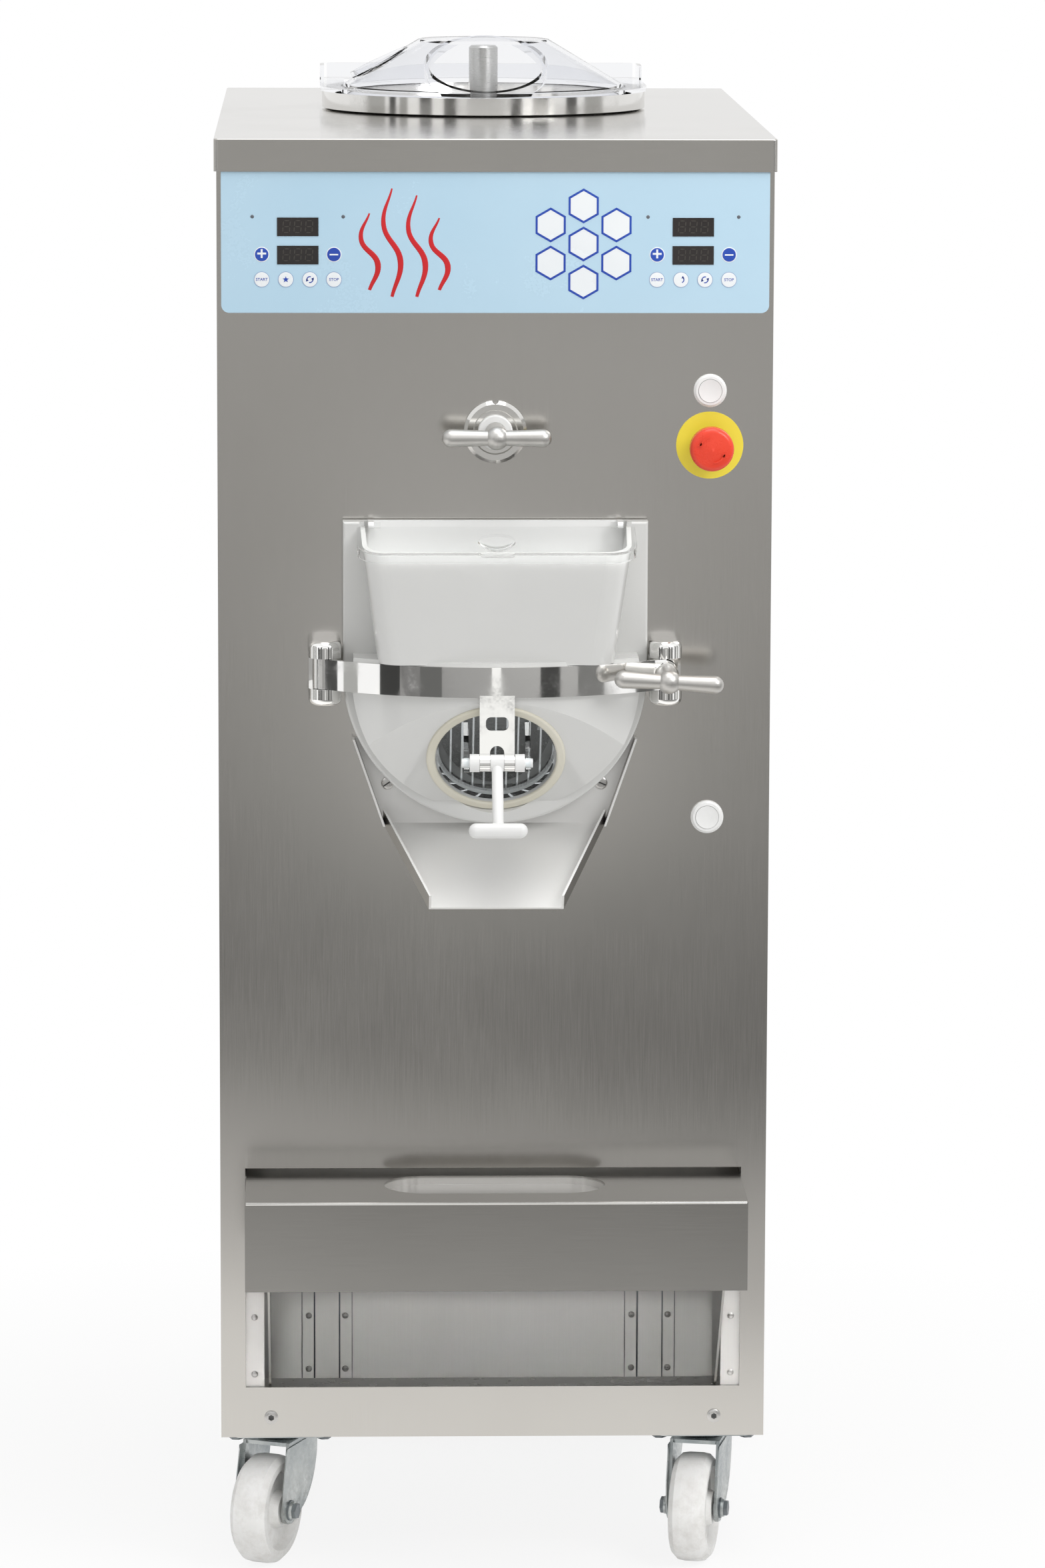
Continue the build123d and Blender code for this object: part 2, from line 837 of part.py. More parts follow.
# Transfer valve: escutcheon, handle with its spindle, body and the pipe down to the cylinder
with BuildPart() as valve_escutcheon:
    turn(
        [
            (out(0), spindle + loose),
            (out(0), escutcheon_radius),
            (out(escutcheon_rise - 3), escutcheon_radius),
            (out(escutcheon_rise), escutcheon_radius - 3),
            (out(escutcheon_rise), escutcheon_radius - 8),
            (out(escutcheon_rise - 2), escutcheon_radius - 9),
            (out(escutcheon_rise - 2), spindle + loose),
        ],
        (0, 0, valve_z),
        (0, 1, 0),
    )
    with BuildSketch(front_plane(0)):
        with Locations((0, valve_z + escutcheon_radius)):
            Circle(3)
    extrude(amount=escutcheon_rise, mode=Mode.SUBTRACT)
keep(valve_escutcheon, "valve_escutcheon")

with BuildPart() as valve_bush:
    with BuildSketch(front_plane(escutcheon_rise - 2)):
        with Locations((0, valve_z)):
            Circle(15.5)
            Circle(spindle + running, mode=Mode.SUBTRACT)
    extrude(amount=6)
    fillet(valve_bush.faces().sort_by(Axis.Y)[0].edges().sort_by(SortBy.RADIUS)[-1], 1.5)
keep(valve_bush, "valve_bush")

with BuildPart() as valve_handle:
    hub_seat = escutcheon_rise + 4 + seat_gap
    t_handle(0, valve_z, valve_handle_reach, hub_seat, 0)
    with BuildSketch(front_plane(valve_handle_reach)):
        with Locations((0, valve_z)):
            Circle(spindle)
    extrude(amount=-(valve_handle_reach + valve_depth + 20))
keep(valve_handle, "valve_handle")

with BuildPart() as transfer_valve:
    drop_low = axis_z + bore_radius + cylinder_wall + seat_gap
    with BuildSketch(front_plane(-valve_depth)):
        with Locations((0, valve_z)):
            Circle(valve_radius)
    extrude(amount=-valve_length)
    with BuildSketch(Plane.XY.offset(drop_low)):
        with Locations((0, back(valve_depth + valve_length / 2))):
            Circle(pipe_radius)
    extrude(amount=valve_z - drop_low)
    fillet(transfer_valve.faces().filter_by(Axis.Y).edges().filter_by(GeomType.CIRCLE), 3)
    with BuildSketch(front_plane(-valve_depth)):
        with Locations((0, valve_z)):
            Circle(spindle + running)
    extrude(amount=-22, mode=Mode.SUBTRACT)
keep(transfer_valve, "transfer_valve")

# Freezing cylinder with its front flange and rear wall
with BuildPart() as freezing_cylinder:
    rear_wall = cylinder_length - cylinder_wall
    turn(
        [
            (out(flange_rise), bore_radius),
            (out(flange_rise), cylinder_flange),
            (out(0), cylinder_flange),
            (out(0), shell_radius),
            (back(cylinder_length), shell_radius),
            (back(cylinder_length), beater_shaft + loose),
            (back(rear_wall), beater_shaft + loose),
            (back(rear_wall), bore_radius),
        ],
        (0, 0, axis_z),
        (0, 1, 0),
    )
keep(freezing_cylinder, "freezing_cylinder")

with BuildPart() as cylinder_insulation:
    turn(
        [
            (back(sheet), shell_radius + seat_gap),
            (back(sheet), insulation_radius),
            (back(cylinder_length), insulation_radius),
            (back(cylinder_length), shell_radius + seat_gap),
        ],
        (0, 0, axis_z),
        (0, 1, 0),
    )
    with BuildSketch(Plane.XY.offset(axis_z + shell_radius)):
        with Locations((0, back(valve_depth + valve_length / 2))):
            Circle(pipe_radius + seat_gap)
    extrude(amount=insulation_radius, mode=Mode.SUBTRACT)
keep(cylinder_insulation, "cylinder_insulation")

with BuildPart() as shaft_bearing:
    turn(
        [
            (back(cylinder_length), beater_shaft + running),
            (back(cylinder_length), bearing_radius),
            (back(cylinder_length + 10), bearing_radius),
            (back(cylinder_length + 16), bearing_radius - 14),
            (back(cylinder_length + bearing_length), bearing_radius - 14),
            (back(cylinder_length + bearing_length), beater_shaft + running),
        ],
        (0, 0, axis_z),
        (0, 1, 0),
    )
keep(shaft_bearing, "shaft_bearing")

# Beater: shaft, two spiders and three blades; the scrapers are separate strips on the blades
with BuildPart() as beater:
    blade_front = 14.0
    blade_back = cylinder_length - 14
    blade_mid = blade_reach - blade_width / 2
    with BuildSketch(front_plane(-(pulley_depth + pulley_width))):
        with Locations((0, axis_z)):
            Circle(beater_shaft)
    extrude(amount=pulley_depth + pulley_width - blade_front)
    with BuildSketch(front_plane(-blade_back)):
        with Locations((0, axis_z)):
            with PolarLocations(blade_mid, 3, start_angle=90):
                Rectangle(blade_width, blade)
    extrude(amount=blade_back - blade_front)
    for spider in (blade_front + 24, (blade_front + blade_back) / 2, blade_back):
        with BuildSketch(front_plane(-spider)):
            with Locations((0, axis_z)):
                Circle(beater_shaft + 8)
                with PolarLocations(blade_mid / 2, 3, start_angle=90):
                    Rectangle(blade_mid, 14)
        extrude(amount=10)
keep(beater, "beater")

with BuildPart() as scraper_blades:
    with BuildSketch(front_plane(-blade_back)):
        with Locations((0, axis_z)):
            with PolarLocations((blade_reach + scraper_reach) / 2, 3, start_angle=90):
                Rectangle(scraper_reach - blade_reach, 3 * blade)
            Circle(scraper_reach, mode=Mode.INTERSECT)
    extrude(amount=blade_back - blade_front)
keep(scraper_blades, "scraper_blades")


# Flat-belt pulley with a rim at each end, on a shaft of the given radius
def pulley(z, radius, bore):
    ends = (back(pulley_depth), back(pulley_depth + pulley_width))
    turn(
        [
            (ends[0], bore),
            (ends[0], radius + belt / 2),
            (ends[0] + 2, radius + belt / 2),
            (ends[0] + 2, radius),
            (ends[1] - 2, radius),
            (ends[1] - 2, radius + belt / 2),
            (ends[1], radius + belt / 2),
            (ends[1], bore),
        ],
        (0, 0, z),
        (0, 1, 0),
    )


with BuildPart() as driven_pulley:
    pulley(axis_z, driven_radius, beater_shaft + running / 2)
    with BuildSketch(front_plane(-pulley_depth)):
        with Locations((0, axis_z)):
            with PolarLocations(driven_radius * 0.6, 5):
                Circle(driven_radius * 0.2)
    extrude(amount=-pulley_width, mode=Mode.SUBTRACT)
keep(driven_pulley, "driven_pulley")

with BuildPart() as motor_pulley:
    pulley(motor_z, motor_pulley_radius, motor_shaft - 1)
    with BuildSketch(front_plane(-(pulley_depth + pulley_width))):
        with Locations((0, motor_z)):
            Circle(motor_shaft)
    extrude(amount=pulley_depth + pulley_width - (motor_front + motor_length) + 20)
keep(motor_pulley, "motor_pulley")

with BuildPart() as drive_belt:
    belt_back = pulley_depth + pulley_width - 2 - seat_gap
    belt_gap = seat_gap / 2
    with BuildSketch(front_plane(-belt_back)):
        with Locations((0, axis_z)):
            Circle(driven_radius + belt + belt_gap)
        with Locations((0, motor_z)):
            Circle(motor_pulley_radius + belt + belt_gap)
        make_hull()
    extrude(amount=pulley_width - 4 - 2 * seat_gap)
    with BuildSketch(front_plane(-belt_back)):
        with Locations((0, axis_z)):
            Circle(driven_radius + belt_gap)
        with Locations((0, motor_z)):
            Circle(motor_pulley_radius + belt_gap)
        make_hull()
    extrude(amount=pulley_width - 4 - 2 * seat_gap, mode=Mode.SUBTRACT)
keep(drive_belt, "drive_belt")

# Drive motor: ribbed body with end bells, standing on the deck
with BuildPart() as drive_motor:
    motor_end = motor_front + motor_length
    turn(
        [
            (back(motor_front), 0),
            (back(motor_front), motor_radius - 20),
            (back(motor_front + 14), motor_radius - 4),
            (back(motor_end - 20), motor_radius - 4),
            (back(motor_end - 4), motor_radius - 26),
            (back(motor_end), motor_radius - 26),
            (back(motor_end), motor_shaft + running),
            (back(motor_end - 22), motor_shaft + running),
            (back(motor_end - 22), 0),
        ],
        (0, 0, motor_z),
        (0, 1, 0),
    )
    with BuildSketch(front_plane(-(motor_end - 26))):
        with Locations((0, motor_z)):
            with PolarLocations(motor_radius - 6, 16):
                Rectangle(12, 3)
    extrude(amount=motor_length - 52)
    feet = (back(motor_front + 40), back(motor_end - 40))
    deck_top = deck_height + angle
    for side in (-1, 1):
        block((side * 34, side * 70), feet, (deck_top, deck_top + 12))
        block((side * 34, side * 46), feet, (deck_top, motor_z - motor_radius / 2))
keep(drive_motor, "drive_motor")

# Hermetic compressor on the base, with its discharge and suction pipes
with BuildPart() as compressor:
    foot = base_top
    compressor_y = back(compressor_depth)
    with BuildSketch(Plane.XZ.offset(-compressor_y)) as can:
        with BuildLine():
            Polyline(
                (0, foot + 14),
                (compressor_radius, foot + 14),
                (compressor_radius, foot + compressor_height),
                (0, foot + compressor_height),
                close=True,
            )
        make_face()
        fillet(can.vertices().filter_by_position(Axis.X, 1, 2 * compressor_radius), compressor_radius / 3)
    revolve(axis=Axis((0, compressor_y, 0), (0, 0, 1)))
    with BuildSketch(Plane.XY.offset(foot)):
        with Locations((0, compressor_y)):
            RectangleRounded(2 * compressor_radius, 2 * compressor_radius, 20)
    extrude(amount=16)
    for side in (-1, 1):
        pipe_x = side * compressor_radius / 2
        pipe_top = foot + compressor_height + 40
        with BuildLine() as run:
            FilletPolyline(
                (pipe_x, compressor_y, foot + compressor_height - 20),
                (pipe_x, compressor_y, pipe_top),
                (pipe_x, back(condenser_depth - 85), pipe_top),
                radius=25,
            )
        with BuildSketch(Plane(origin=run.line @ 0, z_dir=run.line % 0)):
            Circle(6)
        sweep(path=run.line)
keep(compressor, "compressor")

# Condenser: a finned block behind the fan, standing on feet
with BuildPart() as condenser:
    core = (back(condenser_depth), back(condenser_depth + condenser_thick))
    fin_pitch = (2 * condenser_half - fin) / (fin_count - 1)
    with BuildSketch(Plane.XY.offset(condenser_low)):
        with Locations((0, sum(core) / 2)):
            with GridLocations(fin_pitch, 0, fin_count, 1):
                Rectangle(fin, condenser_thick)
    extrude(amount=condenser_high - condenser_low)
    for z in (condenser_low, condenser_high - 4):
        block((-condenser_half, condenser_half), core, (z, z + 4))
    with BuildSketch(Plane.YZ.offset(-condenser_half)):
        with Locations((sum(core) / 2, (condenser_low + condenser_high) / 2)):
            with GridLocations(condenser_thick / 2, 60, 2, 5):
                Circle(5)
    extrude(amount=2 * condenser_half)
    for side in (-1, 1):
        block((side * (condenser_half - 30), side * condenser_half), core, (base_top, condenser_low))
keep(condenser, "condenser")

# Fan shroud on the condenser, with the fan's motor on four arms
with BuildPart() as fan_shroud:
    fan_z = (condenser_low + condenser_high) / 2
    shroud_front = condenser_depth - 70
    with BuildSketch(front_plane(-condenser_depth)):
        with Locations((0, fan_z)):
            Rectangle(2 * condenser_half, condenser_high - condenser_low)
            Circle(fan_radius + 5, mode=Mode.SUBTRACT)
    extrude(amount=sheet)
    with BuildSketch(front_plane(-condenser_depth)):
        with Locations((0, fan_z)):
            Circle(fan_radius + 5 + sheet)
            Circle(fan_radius + 5, mode=Mode.SUBTRACT)
    extrude(amount=condenser_depth - shroud_front)
    with BuildSketch(front_plane(-shroud_front)):
        with Locations((0, fan_z)):
            Circle(fan_hub)
            with PolarLocations(fan_radius / 2 + 10, 4, start_angle=45):
                Rectangle(fan_radius - 10, 10)
            Circle(fan_radius + 6, mode=Mode.INTERSECT)
    extrude(amount=-6)
    with BuildSketch(front_plane(-shroud_front)):
        with Locations((0, fan_z)):
            Circle(5)
    extrude(amount=-50)
keep(fan_shroud, "fan_shroud")

# Condenser fan: hub and pitched blades
with BuildPart() as fan:
    fan_front = shroud_front + 8
    fan_mid = back(fan_front + 18)
    with BuildSketch(front_plane(-fan_front)):
        with Locations((0, fan_z)):
            Circle(fan_hub)
            Circle(5 + running, mode=Mode.SUBTRACT)
    extrude(amount=-36)
    for number in range(fan_blades):
        turned = radians(360 / fan_blades * number)
        outward = (cos(turned), 0, sin(turned))
        chord = (-sin(turned) * cos(radians(28)), sin(radians(28)), cos(turned) * cos(radians(28)))
        root = fan_hub - 4
        foot_point = (root * outward[0], fan_mid, fan_z + root * outward[2])
        with BuildSketch(Plane(origin=foot_point, x_dir=chord, z_dir=outward)):
            Rectangle(60, 2.5)
        extrude(amount=fan_radius - root - 4)
keep(fan, "fan")

# Niche liner: walls with runners for the shelf, front strips and two pressed ribs
with BuildPart() as niche_liner:
    liner_top = niche_top + 5
    liner_back = back(niche_depth)
    wall_inner = niche_half + 1
    wall_outer = wall_inner + sheet
    runner_top = shelf_top - sheet - seat_gap
    block((-wall_outer, wall_outer), (liner_back - sheet, liner_back), (base_top, liner_top))
    block((-wall_outer, wall_outer), (back(sheet), liner_back), (liner_top - sheet, liner_top))
    strip_front = back(2 * sheet + seat_gap)
    for side in (-1, 1):
        inner, outer = side * wall_inner, side * wall_outer
        rail_end = back(sheet + rail_depth) + seat_gap
        block((inner, outer), (back(sheet), liner_back), (niche_bottom, liner_top))
        block((inner, outer), (rail_end, liner_back), (base_top, niche_bottom))
        runner = (side * (wall_inner - runner_width), outer)
        block(runner, (strip_front, liner_back), (runner_top - sheet, runner_top))
        strip = (side * (wall_inner - strip_width), outer)
        block(strip, (strip_front, strip_front + sheet), (niche_bottom, runner_top - sheet))
        rib = (side * (rib_centre - rib_width / 2), side * (rib_centre + rib_width / 2))
        rib_end = runner_top - recess_depth - 2 * sheet
        block(rib, (liner_back - sheet - rib_rise, liner_back - sheet), (base_top, rib_end))
        foot = (rib[0] - side * rib_flange, rib[1] + side * rib_flange)
        block(foot, (liner_back - sheet - rib_foot, liner_back - sheet), (base_top, rib_end))
keep(niche_liner, "niche_liner")

# Tub shelf: folded top and apron with side gussets and a pressed recess
with BuildPart() as shelf:
    apron_low = shelf_top - apron_height
    top_low = shelf_top - sheet
    tail = back(shelf_tail)
    front = out(shelf_reach)
    block((-shelf_half, shelf_half), (front, tail), (top_low, shelf_top))
    block((-shelf_half, shelf_half), (front, front + sheet), (apron_low, shelf_top))
    foot_z = niche_bottom + 1.5
    for side in (-1, 1):
        gusset_face = side * (shelf_half - gusset_inset)
        plate(
            Plane.YZ.offset(min(gusset_face, gusset_face - side * sheet)),
            [
                (front + sheet / 2, shelf_top - sheet / 2),
                (tail, shelf_top - sheet / 2),
                (tail, foot_z),
                (back(sheet), foot_z),
                (front + sheet / 2, apron_low + sheet),
            ],
            sheet,
        )
    with BuildSketch(Plane.XY.offset(shelf_top)):
        with Locations((0, out(recess_reach))):
            SlotOverall(recess_length + 2 * sheet, recess_width + 2 * sheet)
    extrude(amount=-recess_depth - sheet)
    with BuildSketch(Plane.XY.offset(shelf_top)):
        with Locations((0, out(recess_reach))):
            SlotOverall(recess_length, recess_width)
    extrude(amount=-recess_depth, mode=Mode.SUBTRACT)
keep(shelf, "shelf")

# Chute: upper plate on the panel, sloping floor and two upright flanges
with BuildPart() as chute:
    drop = chute_bend_z - chute_lip_z
    ramp = sqrt(drop**2 + chute_lip_reach**2)
    ramp_plane = Plane(
        origin=(0, out(0), chute_bend_z),
        x_dir=(1, 0, 0),
        z_dir=(0, -drop / ramp, chute_lip_reach / ramp),
    )
    upper = [
        (-chute_top_half, chute_top_z),
        (chute_top_half, chute_top_z),
        (chute_bend_half, chute_bend_z),
        (-chute_bend_half, chute_bend_z),
    ]
    plate(front_plane(0), upper, sheet)
    floor = [(-chute_bend_half, 0), (chute_bend_half, 0), (chute_lip_half, -ramp), (-chute_lip_half, -ramp)]
    plate(ramp_plane, floor, sheet)
    for side in (-1, 1):
        top_edge = side * chute_top_half
        bend_edge = side * chute_bend_half
        lip_edge = side * chute_lip_half
        fold = -side * sheet
        wall = [
            (top_edge, chute_top_z),
            (bend_edge, chute_bend_z),
            (bend_edge + fold, chute_bend_z),
            (top_edge + fold, chute_top_z),
        ]
        plate(front_plane(0), wall, chute_flange)
        lower_wall = [(bend_edge, 0), (lip_edge, -ramp), (lip_edge + fold, -ramp), (bend_edge + fold, 0)]
        plate(ramp_plane, lower_wall, chute_flange)
    with BuildSketch(front_plane(0)):
        with Locations((0, axis_z)):
            Circle(cylinder_flange + 1.5)
    extrude(amount=sheet, mode=Mode.SUBTRACT)
keep(chute, "chute")

# Freezer door: plate, sloping outlet block and hopper in one moulding
outlet_plane = Plane(
    origin=(0, out(outlet_reach), outlet_z),
    x_dir=(1, 0, 0),
    z_dir=(0, -cos(tilt), -sin(tilt)),
)
door_face = door_gap + door_plate

# The sloping block behind the outlet, kept inside the door's circle and the strap's bow
with BuildPart() as outlet_block:
    slope = sin(tilt) / cos(tilt)
    block_foot = axis_z - bulge_radius
    block_top = strap_reach
    foot_reach = outlet_reach - (outlet_z - block_foot) * slope
    top_z = outlet_z + (block_top - outlet_reach) / slope
    plate(
        Plane.YZ.offset(-bulge_radius),
        [
            (out(door_gap), block_foot - 10),
            (out(foot_reach - 10 * slope), block_foot - 10),
            (out(block_top), top_z),
            (out(block_top), hopper_low + hopper_floor / 2),
            (out(door_gap), hopper_low + hopper_floor / 2),
        ],
        2 * bulge_radius,
    )
    with BuildSketch(front_plane(0)):
        with Locations((0, axis_z)):
            Circle(bulge_radius)
    extrude(amount=strap_reach, mode=Mode.INTERSECT)
    with BuildSketch(Plane.XY.offset(block_foot)):
        with Locations((0, out(strap_centre))):
            Circle(strap_inner - seat_gap / 2)
    extrude(amount=2 * bulge_radius, mode=Mode.INTERSECT)
    sloping_face = outlet_block.faces().sort_by(Axis((0, 0, 0), outlet_plane.z_dir))[-1]
    fillet(sloping_face.edges().sort_by(SortBy.LENGTH)[-1], outlet_edge)

with BuildPart() as freezer_door:
    with BuildSketch(front_plane(door_gap)):
        with Locations((0, axis_z)):
            Circle(door_half)
        with Locations((0, (axis_z + door_top) / 2)):
            Rectangle(2 * door_half, door_top - axis_z)
    extrude(amount=door_plate)
    fillet(freezer_door.faces().sort_by(Axis.Y)[0].edges(), door_edge)
    add(outlet_block.part)
    with BuildSketch(front_plane(door_gap)):
        with Locations((0, axis_z)):
            Circle(spigot_radius)
    extrude(amount=-spigot_depth)

    # The hopper widens upwards, and its rim falls towards the front
    hopper_high = hopper_rear_z + 10
    rim_slope = (hopper_rear_z - hopper_front_z) / (hopper_top_reach - door_face)
    grow = (hopper_high - hopper_low) / (hopper_rear_z - hopper_low)

    def hopper_section(z, half, reach, rear, corner):
        with BuildSketch(Plane.XY.offset(z)) as section:
            with Locations((0, out((reach + rear) / 2))):
                Rectangle(2 * half, reach - rear)
            fillet(section.vertices().group_by(Axis.Y)[0], corner)
        return section.sketch

    outer_half = hopper_low_half + (hopper_top_half - hopper_low_half) * grow
    outer_reach = hopper_low_reach + (hopper_top_reach - hopper_low_reach) * grow
    outer_low = hopper_section(hopper_low, hopper_low_half, hopper_low_reach, door_gap, hopper_corner)
    outer_high = hopper_section(hopper_high, outer_half, outer_reach, door_gap, hopper_corner)
    loft([outer_low.faces()[0], outer_high.faces()[0]])
    rim_cut = [
        (out(door_face), hopper_rear_z),
        (out(door_face), hopper_high + 5),
        (out(outer_reach + 20), hopper_high + 5),
        (out(outer_reach + 20), hopper_rear_z - rim_slope * (outer_reach + 20 - door_face)),
    ]
    plate(Plane.YZ.offset(-door_half), rim_cut, 2 * door_half, Mode.SUBTRACT)
    block(
        (-door_half, door_half), (out(door_face), out(0)), (door_top, hopper_high + 10), Mode.SUBTRACT
    )
    hopper_rear = door_gap + hopper_floor
    inner_corner = hopper_corner - hopper_wall
    floor_z = hopper_low + hopper_floor
    cavity_low = hopper_section(
        floor_z, hopper_low_half - hopper_wall, hopper_low_reach - hopper_wall, hopper_rear, inner_corner
    )
    cavity_high = hopper_section(
        hopper_high, outer_half - hopper_wall, outer_reach - hopper_wall, hopper_rear, inner_corner
    )
    loft([cavity_low.faces()[0], cavity_high.faces()[0]], mode=Mode.SUBTRACT)

    # Inlet from the hopper into the cylinder, then the outlet bore and its passage
    inlet_z = floor_z + inlet_height / 2
    with BuildSketch(front_plane(hopper_rear + 1)):
        with Locations((0, inlet_z)):
            RectangleRounded(inlet_width, inlet_height, inlet_height / 3)
    extrude(amount=-(hopper_rear + spigot_depth + 2), mode=Mode.SUBTRACT)
    with BuildSketch(outlet_plane):
        Circle(outlet_radius)
    extrude(amount=-outlet_depth, mode=Mode.SUBTRACT)
    with BuildSketch(outlet_plane):
        Circle(ring_radius + seat_gap)
    extrude(amount=door_plate, mode=Mode.SUBTRACT)
    passage_z = outlet_z + outlet_depth * sin(tilt) - 6
    with BuildSketch(front_plane(outlet_reach - outlet_depth * cos(tilt) + 30)):
        with Locations((0, passage_z)):
            Circle(outlet_radius * 0.72)
    extrude(amount=-60, mode=Mode.SUBTRACT)
    with BuildSketch(front_plane(door_gap)):
        with Locations((0, axis_z)):
            Circle(seal_radius + seal_width / 2)
            Circle(seal_radius - seal_width / 2, mode=Mode.SUBTRACT)
    extrude(amount=2, mode=Mode.SUBTRACT)

    # Lugs for the hopper lid's pivots
    lid_pivot = (out(door_face + 5), hopper_rear_z + 1.5)
    lug_x = hopper_top_half - hopper_wall - 8
    for side in (-1, 1):
        lug = (side * lug_x, side * (lug_x + 5))
        with BuildSketch(Plane.YZ.offset(min(lug))):
            with Locations(lid_pivot):
                Circle(3.5)
            with Locations((out((hopper_rear + door_face + 3) / 2), lid_pivot[1])):
                Rectangle(door_face + 7 - hopper_rear, 7)
            with Locations(lid_pivot):
                Circle(2 + running, mode=Mode.SUBTRACT)
        extrude(amount=5)
keep(freezer_door, "freezer_door")

# Door seal in the groove round the spigot
with BuildPart() as door_seal:
    with BuildSketch(front_plane(flange_rise + seat_gap)):
        with Locations((0, axis_z)):
            Circle(seal_radius + seal_width / 2 - running)
            Circle(seal_radius - seal_width / 2 + running, mode=Mode.SUBTRACT)
    extrude(amount=door_gap + 2 - flange_rise - seat_gap)
keep(door_seal, "door_seal")

# Outlet ring on the sloping face, and the grille inside the outlet
with BuildPart() as port_ring:
    with BuildSketch(outlet_plane):
        Circle(ring_radius)
        Circle(outlet_radius, mode=Mode.SUBTRACT)
    extrude(amount=ring_rise)
    fillet(port_ring.faces().sort_by(Axis.Y)[0].edges(), 0.8 * ring_rise)
keep(port_ring, "port_ring")

with BuildPart() as port_grille:
    frame_radius = outlet_radius - running
    with BuildSketch(outlet_plane.offset(-grille_inset)):
        Circle(frame_radius)
        Circle(frame_radius - 3, mode=Mode.SUBTRACT)
        bar_count = int(2 * (frame_radius - 6) // grille_pitch)
        for number in range(bar_count):
            bar_x = (number - (bar_count - 1) / 2) * grille_pitch
            with Locations((bar_x, 0)):
                Rectangle(grille_bar, 2 * sqrt((frame_radius - 1) ** 2 - bar_x**2))
    extrude(amount=-grille_depth)
keep(port_grille, "port_grille")

# Hopper lid: sloping clear plate with a lip, a finger scoop, a front tab and two pivot stubs
with BuildPart() as hopper_cover:
    lean = atan2(rim_slope, 1)
    lid_plane = Plane(
        origin=(0, out(door_face), hopper_rear_z + seat_gap),
        x_dir=(1, 0, 0),
        z_dir=(0, -sin(lean), cos(lean)),
    )
    lip_gap = 1.0
    lid_half = hopper_top_half + lip_gap + 2
    lid_length = (hopper_top_reach - door_face) / cos(lean) + lip_gap + 2
    rear_gap = 9.0
    with BuildSketch(lid_plane) as lip_outline:
        with Locations((0, -(lid_length + rear_gap) / 2)):
            Rectangle(2 * lid_half, lid_length - rear_gap)
        fillet(lip_outline.vertices().group_by(Axis.Y)[0], hopper_corner + lip_gap)
        with Locations((0, -rear_gap - 15)):
            Rectangle(3 * lid_half, 30, mode=Mode.SUBTRACT)
    extrude(amount=-hopper_lid_lip)
    with BuildSketch(lid_plane) as lip_inside:
        with Locations((0, -lid_length / 2 + 1)):
            Rectangle(2 * (lid_half - 2), lid_length - 2)
        fillet(lip_inside.vertices().group_by(Axis.Y)[0], hopper_corner + lip_gap - 2)
    extrude(amount=-hopper_lid_lip, mode=Mode.SUBTRACT)
    scoop_centre = lid_plane.from_local_coords(
        Vector(0, -(lid_length + rear_gap) / 2, hopper_lid + scoop_radius - scoop_depth)
    )
    with Locations(scoop_centre):
        Sphere(scoop_radius + scoop_wall)
    with BuildSketch(lid_plane.offset(hopper_lid)):
        Rectangle(4 * lid_half, 4 * lid_half)
    extrude(amount=3 * scoop_radius, mode=Mode.SUBTRACT)
    with BuildSketch(lid_plane) as lid_outline:
        with Locations((0, -(lid_length + rear_gap) / 2)):
            Rectangle(2 * lid_half, lid_length - rear_gap)
        fillet(lid_outline.vertices().group_by(Axis.Y)[0], hopper_corner + lip_gap)
    extrude(amount=hopper_lid)
    with Locations(scoop_centre):
        Sphere(scoop_radius, mode=Mode.SUBTRACT)
    with BuildSketch(lid_plane):
        with Locations((0, -lid_length)):
            RectangleRounded(tab_width, 2 * tab_reach, tab_reach * 0.9)
    extrude(amount=hopper_lid)
    for side in (-1, 1):
        arm_x = (side * (lug_x - 6), side * (lug_x - seat_gap))
        stub = (side * (lug_x - 6), side * (lug_x + 4.5))
        block(arm_x, (out(door_face + rear_gap + 3), lid_pivot[0]), (lid_pivot[1] - 2, lid_pivot[1] + 2))
        with BuildSketch(Plane.YZ.offset(min(stub))):
            with Locations(lid_pivot):
                Circle(2)
        extrude(amount=10.5)
        with BuildSketch(Plane.YZ.offset(min(arm_x))):
            with Locations(lid_pivot):
                Circle(3)
        extrude(amount=6 - seat_gap)
keep(hopper_cover, "hopper_lid")


# Fork bracket on the panel: a foot and two round-ended ears
def fork_bracket(x):
    low = strap_mid - bracket_height / 2
    high = strap_mid + bracket_height / 2
    block((x - bracket_half, x + bracket_half), (out(0), out(bracket_plate)), (low, high))
    for ear_low, ear_high in ((low, strap_low - seat_gap), (strap_high + seat_gap, high)):
        with BuildSketch(Plane.XY.offset(ear_low)) as ear_outline:
            with Locations((x, out(hinge_reach / 2))):
                Rectangle(2 * bracket_half, hinge_reach)
            with Locations((x, out(hinge_reach))):
                Circle(bracket_half)
        extrude(ear_outline.sketch, amount=ear_high - ear_low)


with BuildPart() as hinge_bracket:
    fork_bracket(-bracket_x)
    fillet(hinge_bracket.faces().sort_by(Axis.Z)[-1].edges().sort_by(Axis.Y)[:-1], bracket_round)
    fillet(hinge_bracket.faces().sort_by(Axis.Z)[0].edges().sort_by(Axis.Y)[:-1], bracket_round)
    with BuildSketch(Plane.XY.offset(strap_mid - bracket_height / 2 + 2)):
        with Locations((-bracket_x, out(hinge_reach))):
            Circle(hinge_pin)
    extrude(amount=bracket_height - 4)
keep(hinge_bracket, "hinge_bracket")

